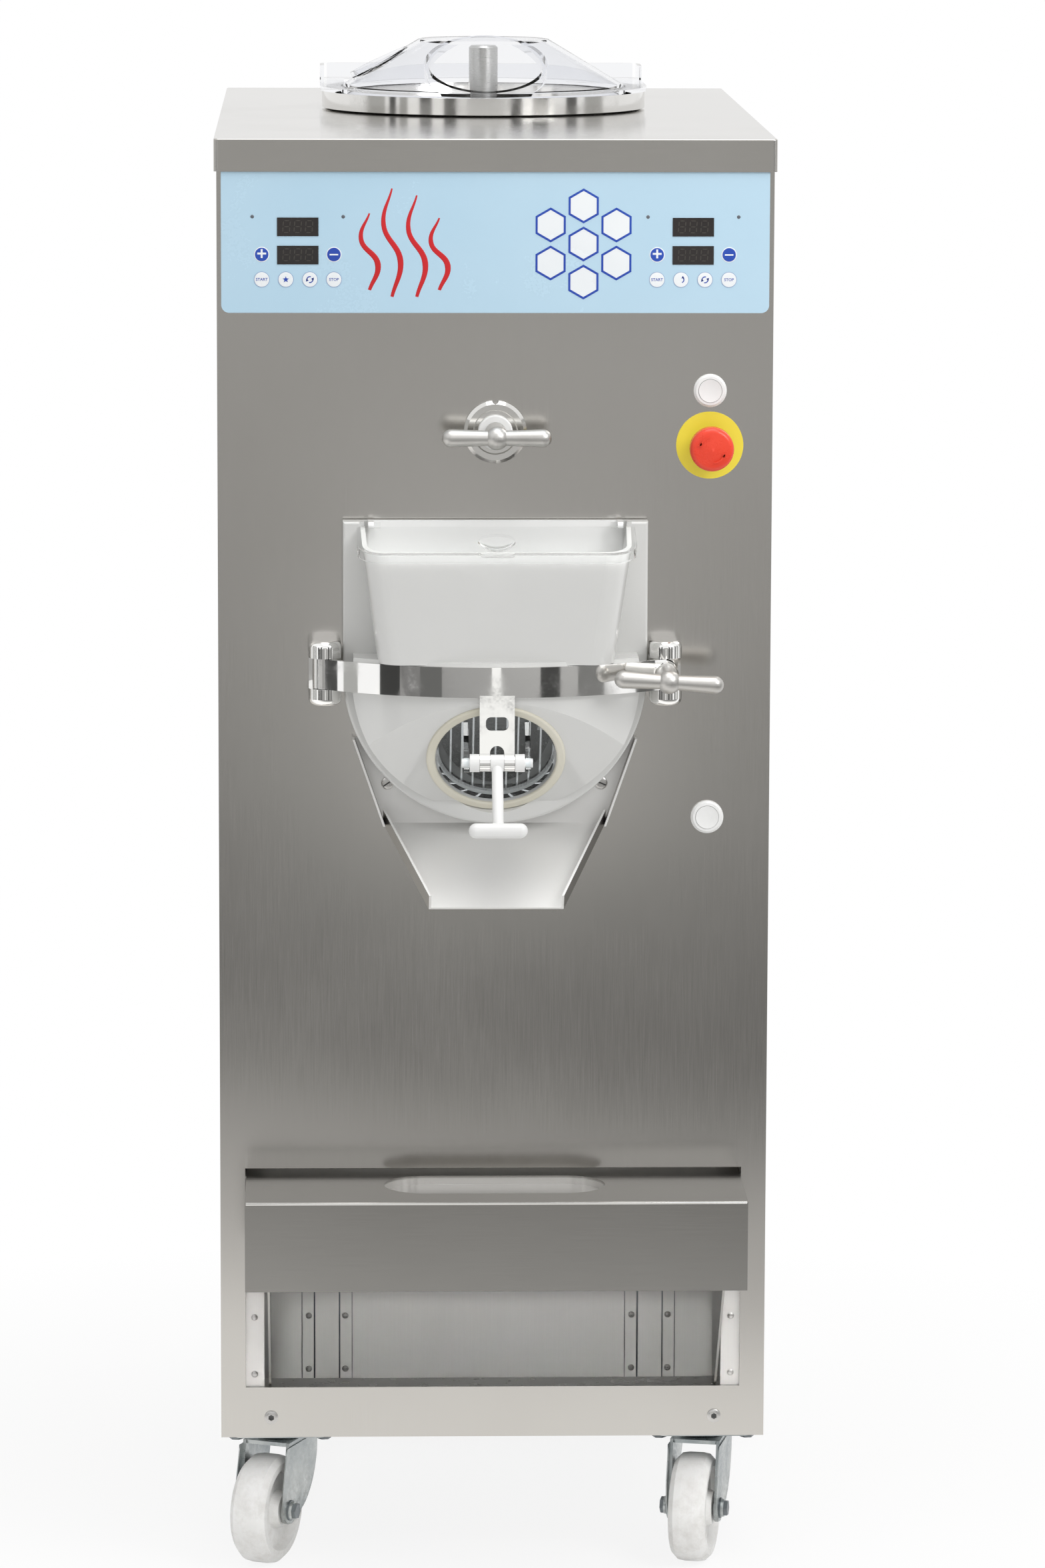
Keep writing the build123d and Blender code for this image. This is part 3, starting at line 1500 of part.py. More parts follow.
with BuildPart() as clamp_bracket:
    fork_bracket(bracket_x)
    fillet(clamp_bracket.faces().sort_by(Axis.Z)[-1].edges().sort_by(Axis.Y)[:-1], bracket_round)
    fillet(clamp_bracket.faces().sort_by(Axis.Z)[0].edges().sort_by(Axis.Y)[:-1], bracket_round)
    ear_gap = (strap_low - seat_gap, strap_high + seat_gap)
    block((bracket_x - nut_half, bracket_x + nut_half), (out(0), out(nut_reach)), ear_gap)
    with BuildSketch(front_plane(nut_reach)):
        with Locations((bracket_x, strap_mid)):
            Circle(hinge_pin + 2 * loose)
    extrude(amount=-(nut_reach - shank_tip + 4), mode=Mode.SUBTRACT)
keep(clamp_bracket, "clamp_bracket")

# Door strap: bowed band with the hinge eye, the clamp boss and the tongue that carries the lever
with BuildPart() as door_strap:
    with BuildSketch(Plane.XY.offset(strap_low)):
        with Locations((0, out(strap_centre))):
            Circle(strap_radius)
            Circle(strap_inner, mode=Mode.SUBTRACT)
        with Locations((0, out(strap_end_reach - strap_thick + strap_radius / 2))):
            Rectangle(2 * bracket_x, strap_radius, mode=Mode.INTERSECT)
        with Locations((-bracket_x, out(hinge_reach))):
            Circle(eye_radius)
        with Locations((-bracket_x, out((hinge_reach + strap_end_reach - strap_thick / 2) / 2))):
            Rectangle(eye_radius, strap_end_reach - strap_thick / 2 - hinge_reach)
        with Locations((-bracket_x, out(hinge_reach))):
            Circle(hinge_pin + running, mode=Mode.SUBTRACT)
    extrude(amount=strap_height)
    with BuildSketch(front_plane(boss_reach - boss_depth)):
        with Locations((bracket_x, strap_mid)):
            Circle(eye_radius)
    extrude(amount=boss_depth)
    with BuildSketch(front_plane(boss_reach - boss_depth)):
        with Locations((bracket_x, strap_mid)):
            Circle(hinge_pin + running)
    extrude(amount=boss_depth + 10, mode=Mode.SUBTRACT)
    tongue = (out(strap_reach - strap_thick), out(strap_reach))
    block((-tongue_half, tongue_half), tongue, (lever_pin_z, strap_low + 2))
    with BuildSketch(Plane.YZ.offset(-tongue_half)):
        with Locations((out(lever_pin_reach), lever_pin_z)):
            Circle(knuckle_radius)
    extrude(amount=2 * tongue_half)
    slot_half = lever_slot + seat_gap
    slot_arch = lever_pin_z + knuckle_radius + 1
    window_z = strap_low - 0.4 * (strap_low - lever_pin_z)
    with BuildSketch(front_plane(strap_reach + 2 * knuckle_radius)):
        with Locations((0, slot_arch - 2 * knuckle_radius)):
            Rectangle(2 * slot_half, 4 * knuckle_radius)
        with Locations((0, slot_arch)):
            Circle(slot_half)
        with Locations((0, window_z)):
            RectangleRounded(window_width, window_height, window_corner)
    extrude(amount=-4 * knuckle_radius, mode=Mode.SUBTRACT)
    with BuildSketch(Plane.YZ.offset(-tongue_half)):
        with Locations((out(lever_pin_reach), lever_pin_z)):
            Circle(lever_pin + running)
    extrude(amount=2 * tongue_half, mode=Mode.SUBTRACT)
keep(door_strap, "door_strap")

# Clamp handle: the T-handle, its shank through the strap's boss and a retaining ring
with BuildPart() as clamp_handle:
    t_handle(bracket_x, strap_mid, clamp_reach, boss_reach + seat_gap, clamp_tilt)
    with BuildSketch(front_plane(shank_tip)):
        with Locations((bracket_x, strap_mid)):
            Circle(hinge_pin)
    extrude(amount=clamp_reach - shank_tip)
    ring_front = boss_reach - boss_depth - seat_gap
    with BuildSketch(front_plane(ring_front)):
        with Locations((bracket_x, strap_mid)):
            Circle(hinge_pin + 2.5)
    extrude(amount=-2.5)
keep(clamp_handle, "clamp_handle")

# Outlet lever: hub and collars on the pin, a tapered rod and the T-grip
with BuildPart() as outlet_lever:
    pin_point = (0, out(lever_pin_reach), lever_pin_z)
    grip_point = (0, out(lever_reach), lever_bar_z)
    reach = Vector(*grip_point) - Vector(*pin_point)
    pin_end = lug_inner + lug_thick + 2
    turn([(-pin_end, 0), (-pin_end, lever_pin), (pin_end, lever_pin), (pin_end, 0)], pin_point, (1, 0, 0))
    turn(
        [(-lever_slot, 0), (-lever_slot, knuckle_radius), (lever_slot, knuckle_radius), (lever_slot, 0)],
        pin_point,
        (1, 0, 0),
    )
    for side in (-1, 1):
        inner, outer = side * (tongue_half + seat_gap), side * collar_outer
        turn([(inner, 0), (inner, collar_ring), (outer, collar_ring), (outer, 0)], pin_point, (1, 0, 0))
    with BuildSketch(Plane(origin=pin_point, x_dir=(1, 0, 0), z_dir=reach)) as rod:
        Circle(lever_rod)
    extrude(rod.sketch, amount=reach.length)
    for side in (-1, 1):
        with BuildSketch(Plane(origin=grip_point, x_dir=(side, 0, 0), z_dir=(0, -1, 0))) as grip:
            with BuildLine():
                round_start = (lever_bar_half - lever_bar_radius, lever_bar_radius)
                round_mid = (
                    lever_bar_half - lever_bar_radius * (1 - cos(radians(45))),
                    lever_bar_radius * sin(radians(45)),
                )
                Line((0, lever_bar_radius), round_start)
                ThreePointArc(round_start, round_mid, (lever_bar_half, 0))
                Polyline((lever_bar_half, 0), (0, 0), (0, lever_bar_radius))
            make_face()
        revolve(grip.sketch, axis=Axis(grip_point, (side, 0, 0)))
keep(outlet_lever, "outlet_lever")

# Outlet gate: clear plug with two slotted lugs round the lever's pin
with BuildPart() as outlet_gate:
    with BuildSketch(outlet_plane.offset(-gate_inset - gate_thick)):
        Circle(gate_radius)
    extrude(amount=gate_thick)
    forward, rise = lever_pin_reach - outlet_reach, lever_pin_z - outlet_z
    pin_lift = forward * cos(tilt) - rise * sin(tilt)
    pin_up = forward * sin(tilt) + rise * cos(tilt)
    for side in (-1, 1):
        lug_low = side * lug_inner if side > 0 else -lug_inner - lug_thick
        lug_plane = Plane(
            origin=outlet_plane.origin + Vector(lug_low, 0, 0),
            x_dir=outlet_plane.y_dir,
            z_dir=(1, 0, 0),
        )
        lug_foot = -gate_inset - 1
        with BuildSketch(lug_plane) as lug_outline:
            with BuildLine():
                Polyline(
                    (pin_up - 30, lug_foot),
                    (pin_up + 14, lug_foot),
                    (pin_up + lug_radius, pin_lift),
                    (pin_up - lug_radius, pin_lift),
                    close=True,
                )
            make_face()
            with Locations((pin_up, pin_lift)):
                Circle(lug_radius)
            with Locations((pin_up, pin_lift - gate_travel / 2)):
                SlotCenterToCenter(
                    gate_travel + 1, 2 * (lever_pin + seat_gap), rotation=90, mode=Mode.SUBTRACT
                )
        extrude(lug_outline.sketch, amount=lug_thick)
keep(outlet_gate, "outlet_gate")


# Axes of one castor: forward is across the trail, along the axle
def castor_axes(yaw_degrees):
    yaw = radians(yaw_degrees)
    return Vector(cos(yaw), sin(yaw), 0), Vector(-sin(yaw), cos(yaw), 0)


# Castors: plates with their king pins, swivelling forks and nylon wheels
castors = {
    name: (
        castor_x * (-1 if name.endswith("left") else 1),
        back(castor_inset) if name.startswith("front") else rear_y - castor_inset,
        yaw,
    )
    for name, yaw in castor_yaw.items()
}
race_low = base_height - castor_plate - race_height
crown_high = race_low - seat_gap
crown_low = crown_high - fork_crown

with BuildPart() as castor_plates:
    for x, y, yaw in castors.values():
        with BuildSketch(Plane.XY.offset(base_height - castor_plate)):
            with Locations((x, y)):
                RectangleRounded(castor_plate_width, castor_plate_length, 8)
        extrude(amount=castor_plate)
        turn(
            [
                (base_height - castor_plate, 0),
                (base_height - castor_plate, race_radius),
                (race_low, race_radius - 3),
                (race_low, kingpin),
                (crown_low - seat_gap, kingpin),
                (crown_low - seat_gap, kingpin + 4),
                (crown_low - 3, kingpin + 4),
                (crown_low - 3, 0),
            ],
            (x, y, 0),
            (0, 0, 1),
        )
keep(castor_plates, "castor_plates")

for name, (x, y, yaw) in castors.items():
    axle, ahead = castor_axes(yaw)
    pivot = Vector(x, y, 0)
    hub = pivot - ahead * castor_trail + Vector(0, 0, wheel_radius)
    cheek_outer = fork_gap / 2 + fork_cheek

    with BuildPart() as fork:
        crown_plane = Plane(origin=pivot + Vector(0, 0, crown_low), x_dir=axle, z_dir=(0, 0, 1))
        with BuildSketch(crown_plane):
            with Locations((0, -2)):
                RectangleRounded(2 * cheek_outer, 62, 6)
            Circle(kingpin + running, mode=Mode.SUBTRACT)
        extrude(amount=fork_crown)
        for side in (-1, 1):
            start = side * fork_gap / 2 if side > 0 else -cheek_outer
            cheek_plane = Plane(origin=pivot + axle * start, x_dir=ahead, z_dir=axle)
            with BuildSketch(cheek_plane):
                with Locations((-castor_trail, wheel_radius)):
                    Circle(13)
                with BuildLine():
                    Polyline(
                        (-33, crown_high),
                        (29, crown_high),
                        (-castor_trail + 12.5, wheel_radius - 4),
                        (-castor_trail - 12.5, wheel_radius - 4),
                        close=True,
                    )
                make_face()
            extrude(amount=fork_cheek)
        axle_half = cheek_outer + 5
        turn([(-axle_half, 0), (-axle_half, wheel_axle), (axle_half, wheel_axle), (axle_half, 0)],
             tuple(hub), tuple(axle))
        for side in (-1, 1):
            ends = (side * cheek_outer, side * (cheek_outer + 5))
            turn([(ends[0], 0), (ends[0], 9), (ends[1], 8), (ends[1], 0)], tuple(hub), tuple(axle))
    keep(fork, f"{name}_fork")

    with BuildPart() as wheel:
        half = wheel_width / 2
        web = half - 8
        turn(
            [
                (-half, wheel_axle + running),
                (-half, wheel_hub),
                (-web, wheel_hub + 3),
                (-web, wheel_radius - 16),
                (-half + 1, wheel_radius - 12),
                (-half + 1, wheel_radius - 6),
                (-half + 6, wheel_radius - 1),
                (-6, wheel_radius),
                (6, wheel_radius),
                (half - 6, wheel_radius - 1),
                (half - 1, wheel_radius - 6),
                (half - 1, wheel_radius - 12),
                (web, wheel_radius - 16),
                (web, wheel_hub + 3),
                (half, wheel_hub),
                (half, wheel_axle + running),
            ],
            tuple(hub),
            tuple(axle),
        )
    keep(wheel, f"{name}_wheel")
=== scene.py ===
import json
import math
import bpy
from mathutils import Matrix, Vector


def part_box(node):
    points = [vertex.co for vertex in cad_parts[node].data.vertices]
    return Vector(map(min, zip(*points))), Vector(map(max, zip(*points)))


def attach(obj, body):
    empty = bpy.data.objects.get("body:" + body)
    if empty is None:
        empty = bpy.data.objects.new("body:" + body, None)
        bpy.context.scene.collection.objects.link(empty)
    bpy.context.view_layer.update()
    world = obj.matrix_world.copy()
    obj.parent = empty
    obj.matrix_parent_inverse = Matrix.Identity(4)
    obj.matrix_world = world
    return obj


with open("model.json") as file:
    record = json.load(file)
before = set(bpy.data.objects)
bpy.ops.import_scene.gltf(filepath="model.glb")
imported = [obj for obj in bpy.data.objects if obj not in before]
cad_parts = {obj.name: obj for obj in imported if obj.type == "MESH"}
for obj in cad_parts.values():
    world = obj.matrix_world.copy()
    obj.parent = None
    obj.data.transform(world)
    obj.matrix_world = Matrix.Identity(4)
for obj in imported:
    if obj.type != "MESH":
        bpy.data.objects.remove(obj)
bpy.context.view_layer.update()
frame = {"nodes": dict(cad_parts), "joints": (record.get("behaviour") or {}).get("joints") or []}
nodes = frame["nodes"]
print("frame loaded:", len(nodes), "nodes")

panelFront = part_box("front_panel")[0].y
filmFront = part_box("control_film")[0].y
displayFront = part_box("display_windows")[0].y

# spans that noise mostly keeps to
noiseWide = (0.3, 0.7)
noiseNarrow = (0.35, 0.65)
fullSpan = (0.0, 1.0)


# shader groups shared by the finishes: vectors or values go in, values come out
def newGroup(name, inputs, outputs):
    group = bpy.data.node_groups.new(name, "ShaderNodeTree")
    for label, value in inputs.items():
        kind = "NodeSocketVector" if isinstance(value, tuple) else "NodeSocketFloat"
        group.interface.new_socket(label, in_out="INPUT", socket_type=kind).default_value = value
    for label in outputs:
        group.interface.new_socket(label, in_out="OUTPUT", socket_type="NodeSocketFloat")
    return group, group.nodes.new("NodeGroupInput"), group.nodes.new("NodeGroupOutput")


def addNode(tree, kind, **values):
    node = tree.nodes.new(kind)
    for key, value in values.items():
        setattr(node, key, value)
    return node


def addMath(tree, operation, first, second=None):
    node = addNode(tree, "ShaderNodeMath", operation=operation)
    for slot, value in ((0, first), (1, second)):
        if value is None:
            continue
        if isinstance(value, (int, float)):
            node.inputs[slot].default_value = value
        else:
            tree.links.new(value, node.inputs[slot])
    return node.outputs[0]


def addNoise(tree, vector, scale, detail, rough=0.5):
    noise = addNode(tree, "ShaderNodeTexNoise")
    noise.inputs["Detail"].default_value = detail
    noise.inputs["Roughness"].default_value = rough
    tree.links.new(vector, noise.inputs["Vector"])
    if isinstance(scale, (int, float)):
        noise.inputs["Scale"].default_value = scale
    else:
        tree.links.new(scale, noise.inputs["Scale"])
    return noise.outputs["Fac"]


def addRange(tree, value, fromLow, fromHigh, toLow, toHigh):
    node = addNode(tree, "ShaderNodeMapRange", clamp=True)
    for slot, number in ((1, fromLow), (2, fromHigh), (3, toLow), (4, toHigh)):
        node.inputs[slot].default_value = number
    tree.links.new(value, node.inputs[0])
    return node.outputs[0]


def addVector(tree, operation, first, second):
    node = addNode(tree, "ShaderNodeVectorMath", operation=operation)
    tree.links.new(first, node.inputs[0])
    tree.links.new(second, node.inputs[1])
    return node.outputs[0]


def objectPlace(tree):
    return addNode(tree, "ShaderNodeTexCoord").outputs["Object"]


def splitAxes(tree, vector):
    node = addNode(tree, "ShaderNodeSeparateXYZ")
    tree.links.new(vector, node.inputs[0])
    return node.outputs


# long fine lines along one direction, with slow clouds over them
def makeBrushLines():
    inputs = {"Stretch": (900, 900, 14), "Cloud Scale": 5.0}
    group, enter, leave = newGroup("brushLines", inputs, ["Line", "Cloud"])
    place = objectPlace(group)
    scaled = addVector(group, "MULTIPLY", place, enter.outputs["Stretch"])
    line = addNoise(group, scaled, 1.0, 3.0, 0.6)
    cloud = addNoise(group, place, enter.outputs["Cloud Scale"], 3.0)
    group.links.new(line, leave.inputs["Line"])
    group.links.new(cloud, leave.inputs["Cloud"])
    return group


# fingerprints and wiped smears: soft patches broken by fine streaks
def makeSmears():
    group, enter, leave = newGroup("smears", {"Scale": 14.0, "Amount": 1.0}, ["Mask"])
    place = objectPlace(group)
    patch = addNoise(group, place, enter.outputs["Scale"], 4.0)
    patch = addRange(group, patch, 0.48, 0.72, *fullSpan)
    fine = addNoise(group, place, 420.0, 2.0)
    mask = addMath(group, "MULTIPLY", patch, fine)
    mask = addMath(group, "MULTIPLY", mask, enter.outputs["Amount"])
    group.links.new(mask, leave.inputs["Mask"])
    return group


# skin of a moulded or cast surface
def makeMouldSkin():
    inputs = {"Scale": 900.0, "Tone Scale": 9.0}
    group, enter, leave = newGroup("mouldSkin", inputs, ["Height", "Tone"])
    place = objectPlace(group)
    height = addNoise(group, place, enter.outputs["Scale"], 2.0)
    tone = addNoise(group, place, enter.outputs["Tone Scale"], 3.0)
    group.links.new(height, leave.inputs["Height"])
    group.links.new(tone, leave.inputs["Tone"])
    return group


# floor dirt that thins out with height
def makeFloorDirt():
    group, enter, leave = newGroup("floorDirt", {"Height": 0.12, "Speck Scale": 160.0}, ["Mask"])
    place = objectPlace(group)
    low = addMath(group, "DIVIDE", splitAxes(group, place)["Z"], enter.outputs["Height"])
    low = addRange(group, low, *fullSpan, 1.0, 0.0)
    speck = addNoise(group, place, enter.outputs["Speck Scale"], 5.0, 0.7)
    speck = addRange(group, speck, 0.42, 0.68, *fullSpan)
    group.links.new(addMath(group, "MULTIPLY", low, speck), leave.inputs["Mask"])
    return group


# one inside a box, nought outside it, with a narrow blend
def makeInsideBox():
    blend = 0.002
    group, enter, leave = newGroup("insideBox", {"Low": (0, 0, 0), "High": (1, 1, 1)}, ["Mask"])
    place = objectPlace(group)
    past = addVector(group, "SUBTRACT", place, enter.outputs["Low"])
    left = addVector(group, "SUBTRACT", enter.outputs["High"], place)
    depths = splitAxes(group, addVector(group, "MINIMUM", past, left))
    depth = addMath(group, "MINIMUM", depths["X"], depths["Y"])
    depth = addMath(group, "MINIMUM", depth, depths["Z"])
    group.links.new(addRange(group, depth, 0.0, blend, *fullSpan), leave.inputs["Mask"])
    return group


brushLines = makeBrushLines()
smears = makeSmears()
mouldSkin = makeMouldSkin()
floorDirt = makeFloorDirt()
insideBox = makeInsideBox()
print("shader groups ready")


# finishes
def shaderOf(finish):
    return finish.node_tree, finish.node_tree.nodes["Principled BSDF"]


def newFinish(name, color, rough, metal=0.0):
    finish = bpy.data.materials.new(name)
    finish.use_nodes = True
    tree, shader = shaderOf(finish)
    shader.inputs["Base Color"].default_value = (*color, 1)
    shader.inputs["Roughness"].default_value = rough
    shader.inputs["Metallic"].default_value = metal
    return finish, tree, shader


def useGroup(tree, group, **values):
    node = addNode(tree, "ShaderNodeGroup", node_tree=group)
    for label, value in values.items():
        node.inputs[label.replace("_", " ")].default_value = value
    return node


def mixColor(tree, factor, first, second):
    node = addNode(tree, "ShaderNodeMix", data_type="RGBA")
    tree.links.new(factor, node.inputs[0])
    for slot, color in ((6, first), (7, second)):
        if isinstance(color, tuple):
            node.inputs[slot].default_value = (*color, 1)
        else:
            tree.links.new(color, node.inputs[slot])
    return node.outputs[2]


# shows the first shader where the factor is nought and the second where it is one
def mixShaders(tree, factor, first, second, output="Material Output"):
    mixed = addNode(tree, "ShaderNodeMixShader")
    for slot, source in enumerate((factor, first.outputs[0], second.outputs[0])):
        tree.links.new(source, mixed.inputs[slot])
    tree.links.new(mixed.outputs[0], tree.nodes[output].inputs["Surface"])


# lays a colour over what already feeds the base colour
def tintOver(tree, shader, mask, color):
    base = shader.inputs["Base Color"]
    tree.links.new(mixColor(tree, mask, base.links[0].from_socket, color), base)


def addBump(tree, shader, height, strength, distance):
    bump = addNode(tree, "ShaderNodeBump")
    bump.inputs["Strength"].default_value = strength
    bump.inputs["Distance"].default_value = distance
    tree.links.new(height, bump.inputs["Height"])
    tree.links.new(bump.outputs[0], shader.inputs["Normal"])


def brushedSheet(name, dark, light, rough, stretch, cloudScale=3.0, metal=1.0):
    lineShare = 0.35
    smearDulls = 0.12
    finish, tree, shader = newFinish(name, light, rough[0], metal)
    grain = useGroup(tree, brushLines, Stretch=stretch, Cloud_Scale=cloudScale)
    wiped = useGroup(tree, smears, Scale=7.0, Amount=0.35)
    lines = addMath(tree, "MULTIPLY", grain.outputs["Line"], lineShare)
    clouds = addMath(tree, "MULTIPLY", grain.outputs["Cloud"], 1 - lineShare)
    tone = addRange(tree, addMath(tree, "ADD", lines, clouds), *noiseWide, *fullSpan)
    tree.links.new(mixColor(tree, tone, dark, light), shader.inputs["Base Color"])
    gloss = addRange(tree, grain.outputs["Line"], *noiseWide, *rough)
    gloss = addMath(tree, "ADD", gloss, addMath(tree, "MULTIPLY", wiped.outputs["Mask"], smearDulls))
    tree.links.new(gloss, shader.inputs["Roughness"])
    addBump(tree, shader, grain.outputs["Line"], 0.05, 0.0001)
    return finish


def polishedMetal(name, color, rough):
    smearDulls = 0.22
    finish, tree, shader = newFinish(name, color, rough, 1.0)
    wiped = useGroup(tree, smears, Scale=30.0, Amount=1.0)
    gloss = addMath(tree, "MULTIPLY", wiped.outputs["Mask"], smearDulls)
    tree.links.new(addMath(tree, "ADD", gloss, rough), shader.inputs["Roughness"])
    dull = tuple(c * 0.9 for c in color)
    tree.links.new(mixColor(tree, wiped.outputs["Mask"], color, dull), shader.inputs["Base Color"])
    return finish


def castMetal(name, dark, light, rough, grain, bump=0.12):
    finish, tree, shader = newFinish(name, light, rough[0], 1.0)
    skin = useGroup(tree, mouldSkin, Scale=grain, Tone_Scale=22.0)
    tone = addRange(tree, skin.outputs["Tone"], *noiseNarrow, *fullSpan)
    tree.links.new(mixColor(tree, tone, dark, light), shader.inputs["Base Color"])
    gloss = addRange(tree, skin.outputs["Height"], *noiseWide, *rough)
    tree.links.new(gloss, shader.inputs["Roughness"])
    addBump(tree, shader, skin.outputs["Height"], bump, 0.0004)
    return finish


def mouldedPlastic(name, dark, light, rough, grain=900.0, bump=0.05, coat=0.0, toneScale=9.0):
    finish, tree, shader = newFinish(name, light, rough[0])
    skin = useGroup(tree, mouldSkin, Scale=grain, Tone_Scale=toneScale)
    handled = useGroup(tree, smears, Scale=16.0, Amount=0.6)
    tone = addRange(tree, skin.outputs["Tone"], *noiseNarrow, *fullSpan)
    tree.links.new(mixColor(tree, tone, dark, light), shader.inputs["Base Color"])
    gloss = addRange(tree, handled.outputs["Mask"], 0.0, 0.5, *rough)
    tree.links.new(gloss, shader.inputs["Roughness"])
    addBump(tree, shader, skin.outputs["Height"], bump, 0.0003)
    shader.inputs["Coat Weight"].default_value = coat
    shader.inputs["Coat Roughness"].default_value = 0.06
    return finish


# clear plastic: glass to the eye, open to the rays that come from lamps
def clearMoulding(name, tint, rough, bend):
    smearDulls = 0.06
    finish, tree, shader = newFinish(name, tint, rough)
    shader.inputs["Transmission Weight"].default_value = 1.0
    shader.inputs["IOR"].default_value = bend
    handled = useGroup(tree, smears, Scale=26.0, Amount=0.8)
    skin = useGroup(tree, mouldSkin, Scale=60.0, Tone_Scale=7.0)
    gloss = addRange(tree, handled.outputs["Mask"], 0.0, 0.6, rough, rough + smearDulls)
    tree.links.new(gloss, shader.inputs["Roughness"])
    addBump(tree, shader, skin.outputs["Height"], 0.03, 0.0005)
    pane = addNode(tree, "ShaderNodeBsdfTransparent")
    pane.inputs["Color"].default_value = (*tint, 1)
    path = addNode(tree, "ShaderNodeLightPath")
    mixShaders(tree, path.outputs["Is Shadow Ray"], shader, pane)
    return finish


# dirt lies over a finish near the floor, and takes its shine
def dirtyFinish(finish, dirt, height, speck, rough=0.75):
    tree, shader = shaderOf(finish)
    mask = useGroup(tree, floorDirt, Height=height, Speck_Scale=speck).outputs["Mask"]
    tintOver(tree, shader, mask, dirt)
    if shader.inputs["Metallic"].default_value > 0.5:
        tree.links.new(addRange(tree, mask, *fullSpan, 1.0, 0.0), shader.inputs["Metallic"])
    plain = shader.inputs["Roughness"].links[0].from_socket
    blend = addNode(tree, "ShaderNodeMix", data_type="FLOAT")
    tree.links.new(mask, blend.inputs[0])
    tree.links.new(plain, blend.inputs[2])
    blend.inputs[3].default_value = rough
    tree.links.new(blend.outputs[0], shader.inputs["Roughness"])
    return finish


# painted shade: the faces of a folded sheet that look sideways are painted darker and keep their mirror
# finish
def paintedShadeUprights(finish, color):
    tree, shader = shaderOf(finish)
    facing = splitAxes(tree, addNode(tree, "ShaderNodeTexCoord").outputs["Normal"])
    # mask of the sideways faces that take the painted shade
    uprightShade = addRange(tree, addMath(tree, "ABSOLUTE", facing["X"]), 0.45, 0.7, *fullSpan)
    tintOver(tree, shader, uprightShade, color)
    plain = shader.inputs["Metallic"].default_value
    tree.links.new(addRange(tree, uprightShade, *fullSpan, plain, 1.0), shader.inputs["Metallic"])
    return finish


# painted light: a hollow painted paler than the outside
def paintedLightInside(finish, low, high, color, metal=None):
    tree, shader = shaderOf(finish)
    mask = useGroup(tree, insideBox, Low=low, High=high).outputs["Mask"]
    tintOver(tree, shader, mask, color)
    if metal is not None:
        plain = shader.inputs["Metallic"].default_value
        tree.links.new(addRange(tree, mask, *fullSpan, plain, metal), shader.inputs["Metallic"])
    return finish


steelTones = {"dark": (0.515, 0.50, 0.475), "light": (0.57, 0.555, 0.53)}
panelSteel = brushedSheet("panelSteel", rough=(0.14, 0.18), stretch=(2200, 2200, 25), **steelTones)
coverSteel = brushedSheet("coverSteel", rough=(0.15, 0.20), stretch=(25, 2200, 2200), **steelTones)
# painted shade: the shelf is a darker copy of the stainless than the panels
shelfSteel = brushedSheet(
    "shelfSteel", (0.32, 0.312, 0.296), (0.36, 0.352, 0.336), (0.20, 0.25), stretch=(20, 1800, 1800)
)
# painted light in the shelf's recess: paler and less metallic than the shelf
shelfRecess = {"low": (-0.105, -0.44, 0.355), "high": (0.105, -0.34, 0.3694)}
shelfSteel = paintedLightInside(shelfSteel, color=(0.60, 0.59, 0.57), metal=0.55, **shelfRecess)
# painted light: the niche liner is paler and less metallic than the other steel, brightening the shaded niche
nicheSteel = brushedSheet(
    "nicheSteel", (0.60, 0.59, 0.57), (0.67, 0.66, 0.64), (0.36, 0.42),
    stretch=(1600, 1600, 20), cloudScale=6.0, metal=0.35,
)
# painted light: the chute is paler and less metallic than the other steel, standing in for light on its floor
chuteSteel = brushedSheet(
    "chuteSteel", (0.80, 0.795, 0.78), (0.83, 0.825, 0.81), (0.36, 0.40),
    stretch=(2600, 60, 60), cloudScale=4.0, metal=0.40,
)
# painted shade on the chute's side flanges, darker than its floor
chuteSteel = paintedShadeUprights(chuteSteel, (0.46, 0.45, 0.43))
innerSteel = brushedSheet("innerSteel", (0.50, 0.50, 0.49), (0.64, 0.64, 0.63), (0.24, 0.34), (60, 60, 1500))
grilleSteel = brushedSheet("grilleSteel", (0.55, 0.55, 0.55), (0.70, 0.70, 0.70), (0.25, 0.35), (800, 60, 60))
brightChrome = polishedMetal("brightChrome", (0.92, 0.915, 0.90), 0.04)
rimChrome = polishedMetal("rimChrome", (0.74, 0.73, 0.71), 0.10)
satinCast = castMetal("satinCast", (0.52, 0.51, 0.49), (0.60, 0.59, 0.57), (0.36, 0.44), 900.0, 0.06)
zincPlate = castMetal("zincPlate", (0.30, 0.33, 0.34), (0.56, 0.58, 0.57), (0.24, 0.42), 260.0, 0.06)
zincPlate = dirtyFinish(zincPlate, (0.16, 0.15, 0.14), 0.09, 220.0)
finMetal = brushedSheet("finMetal", (0.58, 0.58, 0.58), (0.74, 0.74, 0.74), (0.3, 0.45), (900, 40, 40))
heaterMetal = brushedSheet("heaterMetal", (0.42, 0.42, 0.43), (0.55, 0.55, 0.56), (0.35, 0.5), (40, 40, 900))
castIron = castMetal("castIron", (0.14, 0.14, 0.14), (0.26, 0.26, 0.26), (0.40, 0.60), 420.0, 0.3)
fixingSteel = castMetal("fixingSteel", (0.52, 0.51, 0.50), (0.66, 0.65, 0.63), (0.25, 0.38), 900.0, 0.05)
nutSteel = castMetal("nutSteel", (0.10, 0.11, 0.12), (0.24, 0.26, 0.27), (0.30, 0.48), 500.0, 0.1)

